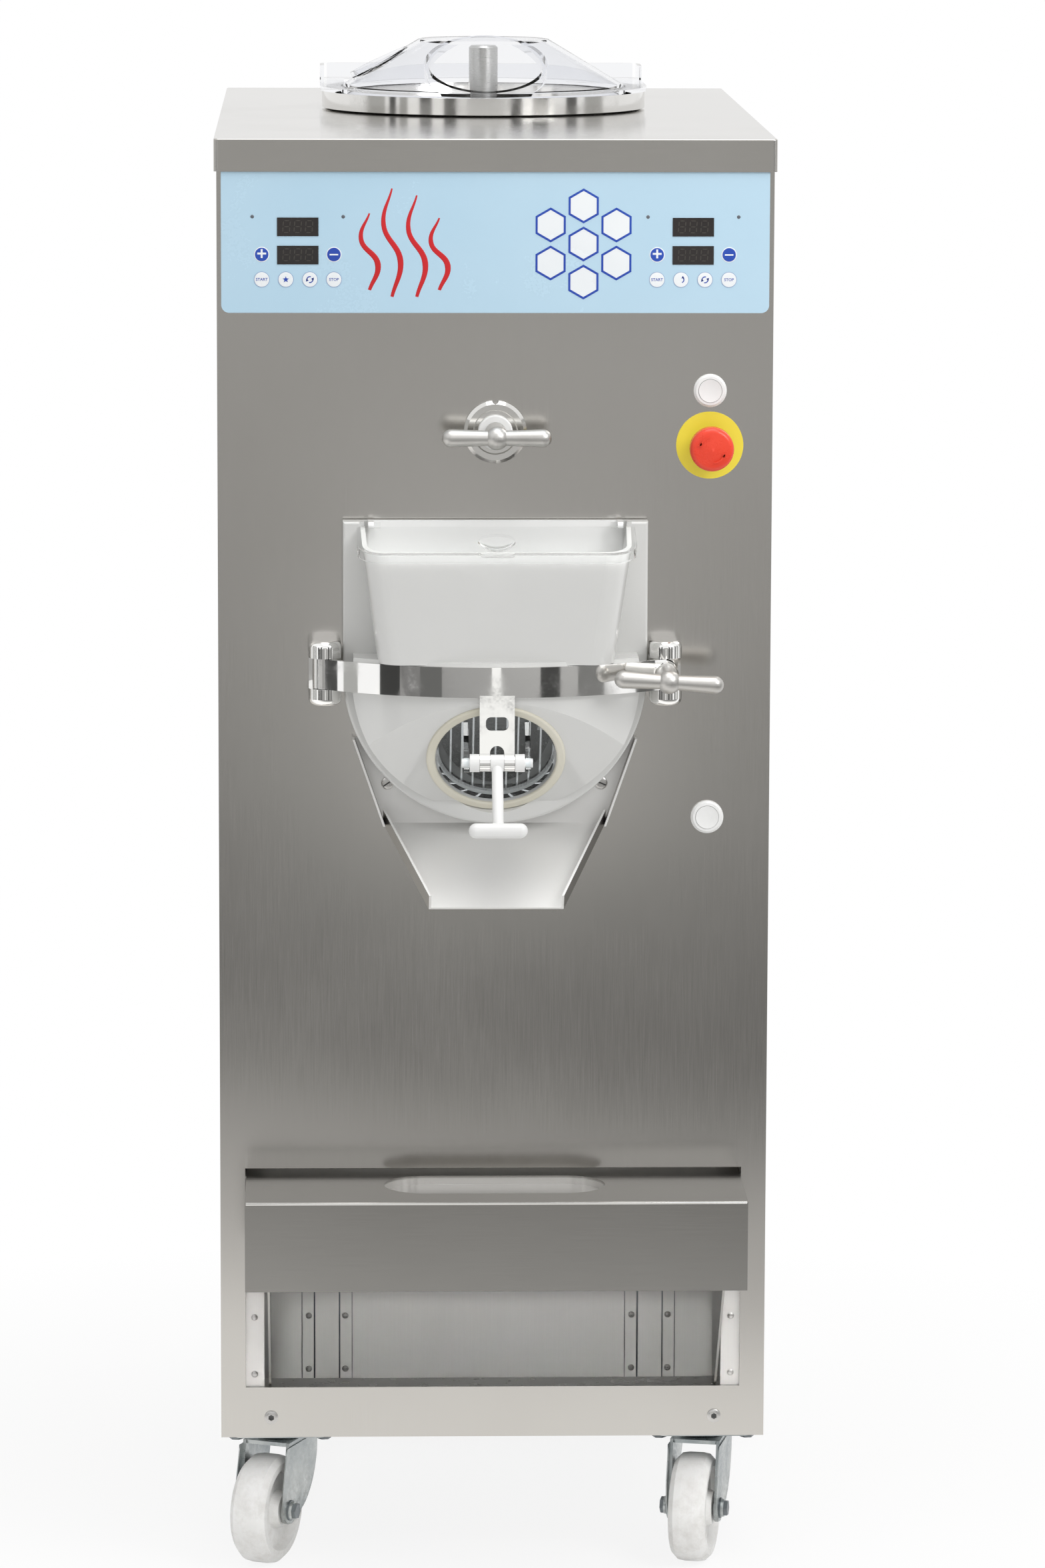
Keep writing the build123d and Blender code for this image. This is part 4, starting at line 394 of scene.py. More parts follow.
doorWhite = mouldedPlastic(
    "doorWhite", (0.665, 0.665, 0.65), (0.69, 0.69, 0.675), (0.10, 0.26),
    grain=700.0, bump=0.02, coat=0.5, toneScale=5.0,
)
# painted light inside the hopper: a paler white than the door
hopperInside = {"low": (-0.1145, -0.4185, 0.925), "high": (0.1145, -0.335, 0.975)}
doorWhite = paintedLightInside(doorWhite, color=(0.95, 0.95, 0.94), **hopperInside)
knobWhite = mouldedPlastic("knobWhite", (0.80, 0.80, 0.79), (0.86, 0.86, 0.85), (0.28, 0.40), 900.0, 0.04)
creamRing = mouldedPlastic("creamRing", (0.66, 0.63, 0.52), (0.74, 0.71, 0.61), (0.34, 0.48), 800.0, 0.06)
wheelNylon = mouldedPlastic(
    "wheelNylon", (0.82, 0.815, 0.80), (0.88, 0.875, 0.86), (0.36, 0.50),
    grain=500.0, bump=0.05, coat=0.0, toneScale=30.0,
)
wheelNylon = dirtyFinish(wheelNylon, (0.70, 0.685, 0.66), 0.30, 60.0, 0.6)
bladeNylon = mouldedPlastic("bladeNylon", (0.76, 0.75, 0.72), (0.86, 0.85, 0.82), (0.35, 0.5))
yellowPlate = mouldedPlastic(
    "yellowPlate", (0.84, 0.68, 0.03), (0.90, 0.76, 0.06), (0.32, 0.45), grain=1200.0, bump=0.08
)
redCap = mouldedPlastic("redCap", (0.74, 0.035, 0.015), (0.84, 0.06, 0.025), (0.24, 0.40), 1000.0, 0.06)
stemDark = mouldedPlastic("stemDark", (0.04, 0.04, 0.04), (0.07, 0.07, 0.07), (0.45, 0.6))
boxBlack = mouldedPlastic("boxBlack", (0.02, 0.02, 0.022), (0.045, 0.045, 0.05), (0.40, 0.58), 600.0, 0.15)
beltRubber = mouldedPlastic(
    "beltRubber", (0.025, 0.025, 0.025), (0.05, 0.05, 0.05), (0.65, 0.85), grain=500.0, bump=0.25
)
foamSkin = mouldedPlastic("foamSkin", (0.62, 0.52, 0.28), (0.74, 0.65, 0.40), (0.75, 0.9), 220.0, 0.5)
motorEnamel = mouldedPlastic(
    "motorEnamel", (0.10, 0.13, 0.17), (0.16, 0.20, 0.25), (0.30, 0.45),
    grain=380.0, bump=0.12, coat=0.2,
)
blackEnamel = mouldedPlastic(
    "blackEnamel", (0.012, 0.012, 0.013), (0.03, 0.03, 0.03), (0.25, 0.42),
    grain=380.0, bump=0.12, coat=0.3,
)
lidClear = clearMoulding("lidClear", (0.915, 0.92, 0.935), 0.015, 1.045)
hopperClear = clearMoulding("hopperClear", (0.96, 0.965, 0.965), 0.015, 1.054)
gateClear = clearMoulding("gateClear", (0.92, 0.945, 0.955), 0.03, 1.3)

filmBlue = mouldedPlastic(
    "filmBlue", (0.458, 0.653, 0.79), (0.507, 0.692, 0.82), (0.22, 0.34),
    grain=2200.0, bump=0.03, coat=0.15, toneScale=4.0,
)
displayDark = mouldedPlastic(
    "displayDark", (0.010, 0.008, 0.008), (0.02, 0.015, 0.014), (0.08, 0.16),
    grain=1200.0, bump=0.01, coat=0.4,
)
segmentDim = mouldedPlastic("segmentDim", (0.045, 0.040, 0.034), (0.060, 0.054, 0.046), (0.3, 0.4))
inkBlue = mouldedPlastic("inkBlue", (0.015, 0.06, 0.40), (0.02, 0.08, 0.46), (0.28, 0.38), 1800.0, 0.03)
inkRing = mouldedPlastic("inkRing", (0.20, 0.30, 0.52), (0.25, 0.36, 0.58), (0.28, 0.38), 1800.0, 0.03)
inkRed = mouldedPlastic("inkRed", (0.56, 0.008, 0.012), (0.64, 0.012, 0.018), (0.28, 0.38), 1800.0, 0.03)
inkWhite = mouldedPlastic("inkWhite", (0.82, 0.85, 0.87), (0.88, 0.90, 0.91), (0.26, 0.36), 1800.0, 0.03)
inkGrey = mouldedPlastic("inkGrey", (0.10, 0.11, 0.13), (0.14, 0.15, 0.17), (0.3, 0.4), 1800.0, 0.03)

nodeFinish = {
    panelSteel: ["front_panel", "side_panels", "rear_panel"],
    coverSteel: ["top_cover"],
    shelfSteel: ["shelf"],
    nicheSteel: ["niche_liner"],
    chuteSteel: ["chute"],
    innerSteel: ["freezing_cylinder", "agitator", "beater", "transfer_valve", "chassis"],
    rimChrome: ["tank", "valve_escutcheon", "lid_hinges"],
    brightChrome: ["door_strap", "hinge_bracket", "clamp_bracket"],
    grilleSteel: ["port_grille"],
    satinCast: ["valve_handle", "clamp_handle"],
    zincPlate: ["castor_plates", "front_left_fork", "front_right_fork", "rear_left_fork", "rear_right_fork"],
    finMetal: ["condenser"],
    heaterMetal: ["tank_heater"],
    castIron: ["shaft_bearing", "driven_pulley", "motor_pulley"],
    doorWhite: ["freezer_door"],
    knobWhite: ["outlet_lever", "upper_button", "lower_button", "button_bezels", "valve_bush"],
    creamRing: ["port_ring"],
    wheelNylon: ["front_left_wheel", "front_right_wheel", "rear_left_wheel", "rear_right_wheel"],
    bladeNylon: ["scraper_blades"],
    yellowPlate: ["stop_plate"],
    redCap: ["stop_head"],
    stemDark: ["stop_stem"],
    boxBlack: ["control_box", "fan"],
    beltRubber: ["door_seal", "drive_belt"],
    foamSkin: ["cylinder_insulation"],
    motorEnamel: ["agitator_motor", "drive_motor"],
    blackEnamel: ["compressor", "fan_shroud"],
    lidClear: ["tank_lid"],
    hopperClear: ["hopper_lid"],
    gateClear: ["outlet_gate"],
    filmBlue: ["control_film"],
    displayDark: ["display_windows"],
}
dressed = set()
for finish, names in nodeFinish.items():
    for name in names:
        nodes[name].data.materials.clear()
        nodes[name].data.materials.append(finish)
        dressed.add(name)
print("finishes on", len(dressed), "nodes, bare:", sorted(set(nodes) - dressed))


# modelling helpers; a facing is the turn about X that brings +Z to it
facings = {"front": math.pi / 2, "rear": -math.pi / 2, "down": math.pi}
softEdge = 0.0001
smoothAngle = 40


def deselectAll():
    for item in list(bpy.context.selected_objects):
        item.select_set(False)


def grab(piece):
    deselectAll()
    piece.select_set(True)
    bpy.context.view_layer.objects.active = piece


def applyPlace(piece):
    grab(piece)
    bpy.ops.object.transform_apply(location=True, rotation=True, scale=True)


def newBox(size, lift=0.0):
    deselectAll()
    bpy.ops.mesh.primitive_cube_add(size=1, location=(0, 0, lift))
    box = bpy.context.object
    box.scale = size
    applyPlace(box)
    return box


def newPlane(size, place=(0, 0, 0), turn=(0, 0, 0)):
    deselectAll()
    bpy.ops.mesh.primitive_plane_add(size=1)
    plane = bpy.context.object
    plane.scale = (*size, 1)
    plane.rotation_euler = turn
    plane.location = place
    applyPlace(plane)
    return plane


def newOutline(sides, radius):
    deselectAll()
    bpy.ops.mesh.primitive_circle_add(vertices=sides, radius=radius, fill_type="NGON")
    return bpy.context.object


def editAll(piece):
    grab(piece)
    bpy.ops.object.mode_set(mode="EDIT")
    bpy.ops.mesh.select_all(action="SELECT")


def endEdit():
    bpy.ops.object.mode_set(mode="OBJECT")


def breakEdges(piece, offset=softEdge):
    editAll(piece)
    bpy.ops.mesh.bevel(offset=offset, segments=2)
    endEdit()
    return piece


# gives a flat outline its thickness
def thicken(piece, rise):
    editAll(piece)
    bpy.ops.mesh.extrude_region_move(TRANSFORM_OT_translate={"value": (0, 0, rise)})
    bpy.ops.mesh.select_all(action="SELECT")
    bpy.ops.mesh.normals_make_consistent(inside=False)
    endEdit()
    return piece


def smoothOver(piece, angle=smoothAngle):
    grab(piece)
    bpy.ops.object.shade_smooth_by_angle(angle=math.radians(angle))
    return piece


def unpick(piece):
    for part in (*piece.data.vertices, *piece.data.edges, *piece.data.polygons):
        part.select = False


def pickTop(piece):
    bpy.context.tool_settings.mesh_select_mode = (False, False, True)
    unpick(piece)
    high = max(v.co.z for v in piece.data.vertices)
    for face in piece.data.polygons:
        face.select = face.normal.z > 0.9 and face.center.z > high - 1e-5


# a turned head: a short post whose top face is stepped inwards and upwards
def steppedHead(sides, radius, height, steps, smooth=smoothAngle):
    deselectAll()
    bpy.ops.mesh.primitive_cylinder_add(
        vertices=sides, radius=radius, depth=height, location=(0, 0, height / 2)
    )
    piece = bpy.context.object
    applyPlace(piece)
    pickTop(piece)
    bpy.ops.object.mode_set(mode="EDIT")
    for inward, upward in steps:
        bpy.ops.mesh.inset(thickness=inward, depth=0)
        bpy.ops.transform.translate(value=(0, 0, upward))
    endEdit()
    return smoothOver(piece, smooth)


def carve(piece, cutter):
    grab(piece)
    cut = piece.modifiers.new("carve", "BOOLEAN")
    cut.operation = "DIFFERENCE"
    cut.solver = "EXACT"
    cut.object = cutter
    bpy.ops.object.modifier_apply(modifier="carve")
    bpy.data.objects.remove(cutter)
    return piece


def copyTo(source, place, facing="front", turn=0.0):
    copy = source.copy()
    copy.data = source.data.copy()
    bpy.context.scene.collection.objects.link(copy)
    flat = Matrix.Rotation(turn, 4, "Z")
    if isinstance(facing, str):
        aim = Matrix.Rotation(facings[facing], 4, "X")
    else:
        aim = Vector(facing).to_track_quat("Z", "Y").to_matrix().to_4x4()
    copy.matrix_world = Matrix.Translation(place) @ aim @ flat
    return copy


# joins the copies, sets their place in the mesh and hangs them on a body
def settle(name, copies, finish, body):
    for copy in copies:
        applyPlace(copy)
    grab(copies[0])
    for copy in copies:
        copy.select_set(True)
    if len(copies) > 1:
        bpy.ops.object.join()
    piece = bpy.context.view_layer.objects.active
    piece.name = name
    piece.data.name = name
    piece.data.materials.clear()
    piece.data.materials.append(finish)
    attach(piece, body)
    return piece


def discard(*sources):
    for source in sources:
        bpy.data.objects.remove(source)


# fixings; "shade" is a dark fill laid in a socket or slot as painted shade
baseBolt = {
    "head": {"sides": 32, "radius": 0.0062, "height": 0.0012,
             "steps": [(0.0007, 0.0005), (0.0014, 0.0004), (0.0008, 0.0001)]},
    "socket": {"vertices": 6, "radius": 0.0028, "depth": 0.004, "location": (0, 0, 0.0026)},
    "shade": {"sides": 6, "radius": 0.0028 * 0.97, "height": 0.0008,
              "steps": [(0.0007, -0.0001)], "smooth": 20},
    "x": 0.202, "z": 0.1435,
}
bolt = steppedHead(**baseBolt["head"])
deselectAll()
bpy.ops.mesh.primitive_cylinder_add(**baseBolt["socket"])
carve(bolt, bpy.context.object)
boltPlaces = [(side * baseBolt["x"], panelFront, baseBolt["z"]) for side in (-1, 1)]
settle("base_bolts", [copyTo(bolt, place) for place in boltPlaces], fixingSteel, "cabinet")
# painted shade: a dark hexagon laid in each bolt's socket
socket = steppedHead(**baseBolt["shade"])
settle("bolt_socket_shade", [copyTo(socket, place) for place in boltPlaces], stemDark, "cabinet")
discard(bolt, socket)

chuteScrew = {
    "head": {"sides": 28, "radius": 0.0056, "height": 0.0008, "steps": [(0.0008, 0.0005), (0.0014, 0.0003)]},
    "slot": {"size": (0.014, 0.0013, 0.0011), "lift": 0.0014},
    "shade": {"size": (0.0098, 0.0013 * 0.96, 0.0003), "lift": 0.00085},
    "x": 0.096, "z": 0.729, "plate": 0.002, "leans": {-1: 0.6, 1: -0.4},
}
screw = carve(steppedHead(**chuteScrew["head"]), newBox(**chuteScrew["slot"]))
# painted shade: a dark bar laid in each screw's slot
slotShade = breakEdges(newBox(**chuteScrew["shade"]))
chuteFront = panelFront - chuteScrew["plate"]
screwCopies = []
slotShadeCopies = []
for side, lean in chuteScrew["leans"].items():
    spot = (side * chuteScrew["x"], chuteFront, chuteScrew["z"])
    screwCopies.append(copyTo(screw, spot, turn=lean))
    slotShadeCopies.append(copyTo(slotShade, spot, turn=lean))
settle("chute_screws", screwCopies, fixingSteel, "cabinet")
settle("screw_slot_shade", slotShadeCopies, stemDark, "cabinet")
discard(slotShade)

rearScrew = {"x": 0.2385, "heights": (0.150, 0.430, 0.710, 0.990, 1.255), "turn": 0.5}
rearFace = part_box("rear_panel")[1].y
rearCopies = []
for side in (-1, 1):
    for count, height in enumerate(rearScrew["heights"]):
        spot = (side * rearScrew["x"], rearFace, height)
        rearCopies.append(copyTo(screw, spot, "rear", rearScrew["turn"] * count + side))
settle("rear_screws", rearCopies, fixingSteel, "cabinet")
discard(screw)

nicheRivet = {
    "head": {"sides": 20, "radius": 0.0030, "height": 0.0004,
             "steps": [(0.0005, 0.0005), (0.0008, 0.0004), (0.0008, 0.0002)]},
    "ribs": (0.134, 0.168), "rows": (0.147, 0.198, 0.270), "wall": 0.0032,
    "strip": 0.217, "stripRows": (0.183, 0.236, 0.300), "stripIn": 0.0043,
}
rivet = steppedHead(**nicheRivet["head"])
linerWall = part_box("niche_liner")[1].y - nicheRivet["wall"]
stripFace = panelFront + nicheRivet["stripIn"]
rivetCopies = []
for side in (-1, 1):
    for height in nicheRivet["rows"]:
        for across in nicheRivet["ribs"]:
            rivetCopies.append(copyTo(rivet, (side * across, linerWall, height)))
    for height in nicheRivet["stripRows"]:
        rivetCopies.append(copyTo(rivet, (side * nicheRivet["strip"], stripFace, height)))
settle("niche_rivets", rivetCopies, fixingSteel, "cabinet")
discard(rivet)

# painted shade: dark strips beside the pressed ribs and round their feet, where shadow lines fall; an edge is
# its reach and its width
nicheShadeLine = {
    "low": 0.130, "high": 0.352, "rise": 0.0004, "rib": 0.151, "edges": [(0.0117, 0.0014), (0.0234, 0.0007)],
}
shadeLineHeight = nicheShadeLine["high"] - nicheShadeLine["low"]
shadeLineMiddle = (nicheShadeLine["low"] + nicheShadeLine["high"]) / 2
shadeLineCopies = []
for reach, width in nicheShadeLine["edges"]:
    shadeLine = breakEdges(newBox((width, shadeLineHeight, nicheShadeLine["rise"])))
    for side in (-1, 1):
        for edge in (-reach, reach):
            shadeLineCopies.append(copyTo(shadeLine, (side * nicheShadeLine["rib"] + edge, linerWall, shadeLineMiddle)))
    discard(shadeLine)
settle("niche_shade_lines", shadeLineCopies, nutSteel, "cabinet")

# the shelf's rounded front fold, in brighter chrome than the shelf: a real rounded edge with a painted
# highlight
shelfFold = {"sides": 24, "radius": 0.0014, "inset": 0.0011, "short": 0.0008, "edge": 0.0002}
shelfLow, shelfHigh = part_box("shelf")
foldLength = shelfHigh.x - shelfLow.x - 2 * shelfFold["short"]
deselectAll()
bpy.ops.mesh.primitive_cylinder_add(
    vertices=shelfFold["sides"], radius=shelfFold["radius"], depth=foldLength
)
foldHighlight = smoothOver(breakEdges(bpy.context.object, shelfFold["edge"]))
foldSpot = (0, shelfLow.y + shelfFold["inset"], shelfHigh.z - shelfFold["inset"])
settle("shelf_fold_highlight", [copyTo(foldHighlight, foldSpot, (1, 0, 0))], rimChrome, "shelf")
discard(foldHighlight)

joints = {joint["name"]: joint for joint in frame["joints"]}
castors = {}
for name, joint in joints.items():
    if name.endswith("_roll"):
        corner = name.removesuffix("_roll")
        castors[corner] = {
            "pin": Vector(joints[corner + "_swivel"]["pos_m"]),
            "hub": Vector(joint["pos_m"]),
            "axle": Vector(joint["axis"]).normalized(),
        }

# broad cheeks of the castor forks, in the wheel's plane: ahead of the pin, above the floor
forkCheek = {"thick": 0.0010, "reach": 0.0230, "resolution": 8, "outline": [
    (-0.040, 0.1090, "VECTOR"), (0.030, 0.1090, "VECTOR"), (0.0285, 0.0880, "AUTO"), (0.010, 0.0560, "AUTO"),
    (-0.020, 0.0405, "AUTO"), (-0.033, 0.0372, "AUTO"), (-0.046, 0.0470, "AUTO")]}
deselectAll()
bpy.ops.curve.primitive_bezier_circle_add(radius=1)
cheek = bpy.context.object
spline = cheek.data.splines[0]
spline.bezier_points.add(len(forkCheek["outline"]) - len(spline.bezier_points))
for knot, (along, up, bend) in zip(spline.bezier_points, forkCheek["outline"]):
    knot.handle_left_type = bend
    knot.handle_right_type = bend
    knot.co = (along, up, 0)
cheek.data.dimensions = "2D"
cheek.data.fill_mode = "BOTH"
cheek.data.resolution_u = forkCheek["resolution"]
cheek.data.extrude = forkCheek["thick"] / 2
bpy.ops.object.convert(target="MESH")
cheek = bpy.context.object
upward = Vector((0, 0, 1))
for corner, castor in castors.items():
    pin = castor["pin"]
    ahead = pin - castor["hub"]
    ahead.z = 0
    ahead.normalize()
    aim = Matrix((ahead, upward, ahead.cross(upward))).transposed().to_4x4()
    cheekCopies = []
    for side in (-1, 1):
        copy = copyTo(cheek, (0, 0, 0))
        foot = castor["axle"] * side * (forkCheek["reach"] + forkCheek["thick"] / 2)
        copy.matrix_world = Matrix.Translation((pin.x + foot.x, pin.y + foot.y, 0)) @ aim
        cheekCopies.append(copy)
    settle(corner + "_fork_cheeks", cheekCopies, zincPlate, corner + "_fork")
discard(cheek)

axleNut = {
    "head": {"sides": 6, "radius": 0.0076, "height": 0.0058, "steps": [(0.0008, 0.0005)], "smooth": 25},
    "washer": {"sides": 28, "radius": 0.0095, "height": 0.0012, "steps": [(0.0006, 0.0003)]},
    "reach": 0.0240, "turn": 0.35,
}
nut = steppedHead(**axleNut["head"])
washer = steppedHead(**axleNut["washer"])
for corner, castor in castors.items():
    nutCopies = []
    for side in (-1, 1):
        outward = castor["axle"] * side
        foot = castor["hub"] + outward * axleNut["reach"]
        nutCopies.append(copyTo(washer, foot, outward))
        nutCopies.append(copyTo(nut, foot + outward * axleNut["washer"]["height"], outward, axleNut["turn"]))
    settle(corner + "_axle_nuts", nutCopies, nutSteel, corner + "_fork")
discard(nut, washer)

plateBolt = {
    "head": {"sides": 6, "radius": 0.0068, "height": 0.0042, "steps": [(0.0009, 0.0005)], "smooth": 25},
    "x": 0.040, "y": 0.033, "turn": 0.36, "plate": 0.004,
}
head = steppedHead(**plateBolt["head"])
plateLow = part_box("chassis")[0].z - plateBolt["plate"]
plateCopies = []
for castor in castors.values():
    for sideX in (-1, 1):
        for sideY in (-1, 1):
            spot = castor["pin"] + Vector((sideX * plateBolt["x"], sideY * plateBolt["y"], 0))
            spot.z = plateLow
            plateCopies.append(copyTo(head, spot, "down", sideX * plateBolt["turn"]))
settle("castor_bolts", plateCopies, nutSteel, "cabinet")
discard(head)
print("fixings done")


# control film print
keys = {
    "groups": (-0.1755, 0.1755), "across": (-0.0320, -0.0107, 0.0107, 0.0320), "row": 1.1813, "level": 1.2035,
    "pad": {"sides": 40, "radius": 0.0068, "height": 0.00015,
            "steps": [(0.0005, 0.00015), (0.0006, 0.00005), (0.0020, 0.00002)]},
    "ring": {"sides": 40, "radius": 0.0070, "line": 0.0005, "rise": 0.00022},
    "disc": {"sides": 40, "radius": 0.0060, "height": 0.00010,
             "steps": [(0.0004, 0.00005), (0.0020, 0.00001)]},
    "sunk": 0.00005,
}
padTop = keys["pad"]["height"] + sum(upward for inward, upward in keys["pad"]["steps"])
outerKeys = (keys["across"][0], keys["across"][-1])


def filmSpot(x, z, lift=0.0):
    return (x, filmFront - lift, z)


# a flat ring cut from a filled outline
def ringPlate(sides, radius, line, rise):
    ring = newOutline(sides, radius)
    editAll(ring)
    bpy.ops.mesh.inset(thickness=line)
    bpy.ops.mesh.delete(type="FACE")
    endEdit()
    return thicken(ring, rise)


pad = steppedHead(**keys["pad"])
padCopies = []
for middle in keys["groups"]:
    padCopies += [copyTo(pad, filmSpot(middle + dx, keys["row"])) for dx in keys["across"]]
    padCopies += [copyTo(pad, filmSpot(middle + dx, keys["level"])) for dx in outerKeys]
settle("key_pads", padCopies, inkWhite, "cabinet")
keyRing = ringPlate(**keys["ring"])
ringCopies = [
    copyTo(keyRing, filmSpot(middle + dx, keys["row"])) for middle in keys["groups"] for dx in keys["across"]
]
settle("key_rings", ringCopies, inkRing, "cabinet")
blueDisc = steppedHead(**keys["disc"])
blueCopies = [
    copyTo(blueDisc, filmSpot(middle + dx, keys["level"], padTop - keys["sunk"]))
    for middle in keys["groups"]
    for dx in outerKeys
]
settle("level_keys", blueCopies, inkBlue, "cabinet")
discard(pad, keyRing, blueDisc)

signalLamp = {
    "head": {"sides": 20, "radius": 0.0016, "height": 0.00015, "steps": [(0.0004, 0.0002), (0.0006, 0.0001)]},
    "across": 0.0403, "row": 1.2370,
}
dot = steppedHead(**signalLamp["head"])
dotCopies = [
    copyTo(dot, filmSpot(middle + side * signalLamp["across"], signalLamp["row"]))
    for middle in keys["groups"]
    for side in (-1, 1)
]
settle("signal_lamps", dotCopies, inkGrey, "cabinet")
discard(dot)


# lettering: text turned to a mesh; "swell" thickens its strokes
letters = {"swell": 0.012, "resolution": 3}


def lettering(words, size, rise):
    deselectAll()
    bpy.ops.object.text_add(location=(0, 0, 0))
    text = bpy.context.object
    text.data.body = words
    text.data.size = size
    text.data.align_x = "CENTER"
    text.data.align_y = "CENTER"
    text.data.extrude = rise
    text.data.offset = size * letters["swell"]
    text.data.resolution_u = letters["resolution"]
    bpy.ops.object.convert(target="MESH")
    return bpy.context.object


# a bent arrow: a strip spun through an arc, with a tip at its start; shares are of its width
arrowShape = {"strip": 0.1, "tip": 1.7, "gap": 0.5, "steps": 14}


def bentArrow(radius, width, sweep, rise):
    strip = newPlane((width, width * arrowShape["strip"]))
    editAll(strip)
    bpy.ops.transform.translate(value=(radius, 0, 0))
    bpy.ops.mesh.delete(type="ONLY_FACE")
    bpy.ops.mesh.select_all(action="DESELECT")
    endEdit()
    bpy.context.tool_settings.mesh_select_mode = (False, True, False)
    for edge in strip.data.edges:
        ends = [strip.data.vertices[i].co for i in edge.vertices]
        edge.select = abs(ends[0].y - ends[1].y) < 1e-7 and ends[0].y > 0
    bpy.ops.object.mode_set(mode="EDIT")
    bpy.ops.mesh.spin(
        steps=arrowShape["steps"], angle=math.radians(sweep), center=(0, 0, 0), axis=(0, 0, 1)
    )
    bpy.ops.mesh.select_all(action="SELECT")
    bpy.ops.mesh.delete_loose(use_verts=True, use_edges=True, use_faces=False)
    endEdit()
    tip = newOutline(3, width * arrowShape["tip"])
    tip.location = (radius, -width * arrowShape["gap"], 0)
    tip.rotation_euler = (0, 0, math.pi)
    applyPlace(tip)
    grab(strip)
    tip.select_set(True)
    bpy.ops.object.join()
    editAll(strip)
    bpy.ops.mesh.normals_make_consistent(inside=False)
    endEdit()
    return thicken(strip, rise)


def starShape(points, radius, waist, rise):
    star = newOutline(2 * points, radius)
    bpy.context.tool_settings.mesh_select_mode = (True, False, False)
    unpick(star)
    for corner in star.data.vertices:
        corner.select = corner.index % 2 == 1
    bpy.ops.object.mode_set(mode="EDIT")
    bpy.ops.transform.resize(value=(waist, waist, 1), center_override=(0, 0, 0))
    endEdit()
    return thicken(star, rise)


# signs on the keys; the left group heats and the right one freezes
keyMarks = {
    "start": {"words": "START", "size": 0.0036, "rise": 0.00008},
    "stop": {"words": "STOP", "size": 0.0036, "rise": 0.00008},
    "plus": {"words": "+", "size": 0.0160, "rise": 0.0001},
    "minus": {"words": "\u2013", "size": 0.0140, "rise": 0.0001},
    "star": {"points": 5, "radius": 0.0030, "waist": 0.42, "rise": 0.00012},
    "cycle": {"radius": 0.0026, "width": 0.0009, "sweep": 130, "rise": 0.00012},
    "single": math.radians(60), "pair": (0.4, 0.4 + math.pi), "signLift": 0.0001, "minusUp": 0.0006,
}
startWord = lettering(**keyMarks["start"])
stopWord = lettering(**keyMarks["stop"])
plusSign = lettering(**keyMarks["plus"])
minusSign = lettering(**keyMarks["minus"])
star = starShape(**keyMarks["star"])
cycle = bentArrow(**keyMarks["cycle"])
signTop = padTop + keyMarks["signLift"]
markCopies = []
signCopies = []
for middle in keys["groups"]:
    places = [filmSpot(middle + dx, keys["row"], padTop) for dx in keys["across"]]
    markCopies.append(copyTo(startWord, places[0]))
    markCopies.append(copyTo(stopWord, places[3]))
    if middle < 0:
        markCopies.append(copyTo(star, places[1]))
    else:
        markCopies.append(copyTo(cycle, places[1], turn=keyMarks["single"]))
    for turn in keyMarks["pair"]:
        markCopies.append(copyTo(cycle, places[2], turn=turn))
    signCopies.append(copyTo(plusSign, filmSpot(middle + outerKeys[0], keys["level"], signTop)))
    minusHigh = keys["level"] + keyMarks["minusUp"]
    signCopies.append(copyTo(minusSign, filmSpot(middle + outerKeys[1], minusHigh, signTop)))
settle("key_marks", markCopies, inkBlue, "cabinet")
settle("level_signs", signCopies, inkWhite, "cabinet")
discard(startWord, stopWord, plusSign, minusSign, star, cycle)

# heat sign: four rising wavy lines, each of four knots
warmPrint = {
    "x": (-0.112, -0.092, -0.070, -0.050),
    "low": (1.172, 1.166, 1.166, 1.172), "high": (1.240, 1.262, 1.256, 1.236),
    "swings": (0, 0.0075, -0.0075, 0), "widths": (0.7, 1.25, 1.0, 0.35), "stroke": 0.0021, "flat": 0.06,
    "resolution": 3,
}
warmCopies = []
for x, low, high in zip(warmPrint["x"], warmPrint["low"], warmPrint["high"]):
    deselectAll()
    bpy.ops.curve.primitive_bezier_curve_add(radius=1)
    wave = bpy.context.object
    spline = wave.data.splines[0]
    spline.bezier_points.add(len(warmPrint["swings"]) - len(spline.bezier_points))
    for step, knot in enumerate(spline.bezier_points):
        share = step / (len(warmPrint["swings"]) - 1)
        knot.co = (warmPrint["swings"][step], (high - low) * (share - 0.5), 0)
        knot.handle_left_type = "AUTO"
        knot.handle_right_type = "AUTO"
        knot.radius = warmPrint["widths"][step]
    wave.data.bevel_depth = warmPrint["stroke"]
    wave.data.bevel_resolution = warmPrint["resolution"]
    wave.data.use_fill_caps = True
    bpy.ops.object.convert(target="MESH")
    wave = bpy.context.object
    wave.scale = (1, 1, warmPrint["flat"])
    applyPlace(wave)
    warmCopies.append(copyTo(wave, filmSpot(x, (low + high) / 2)))
    discard(wave)
settle("warm_print", warmCopies, inkRed, "cabinet")

# cold sign: seven outlined hexagon cells, white inside
coldPrint = {
    "middle": (0.078, 1.2130), "pitch": 0.033748, "first": 30, "radius": 0.0155, "rise": 0.00010,
    "line": 0.0019, "lineRise": 0.00012, "lineLift": 0.00008,
}
cell = thicken(newOutline(6, coldPrint["radius"]), coldPrint["rise"])
edgeRing = ringPlate(6, coldPrint["radius"], coldPrint["line"], coldPrint["lineRise"])
cellSpots = [coldPrint["middle"]]
for step in range(6):
    angle = math.radians(60 * step + coldPrint["first"])
    across, up = coldPrint["pitch"] * math.cos(angle), coldPrint["pitch"] * math.sin(angle)
    cellSpots.append((coldPrint["middle"][0] + across, coldPrint["middle"][1] + up))
cellCopies = [copyTo(cell, filmSpot(x, z)) for x, z in cellSpots]
ringCopies = [copyTo(edgeRing, filmSpot(x, z, coldPrint["lineLift"])) for x, z in cellSpots]
settle("cold_print_cells", cellCopies, inkWhite, "cabinet")
settle("cold_print_lines", ringCopies, inkBlue, "cabinet")
discard(cell, edgeRing)

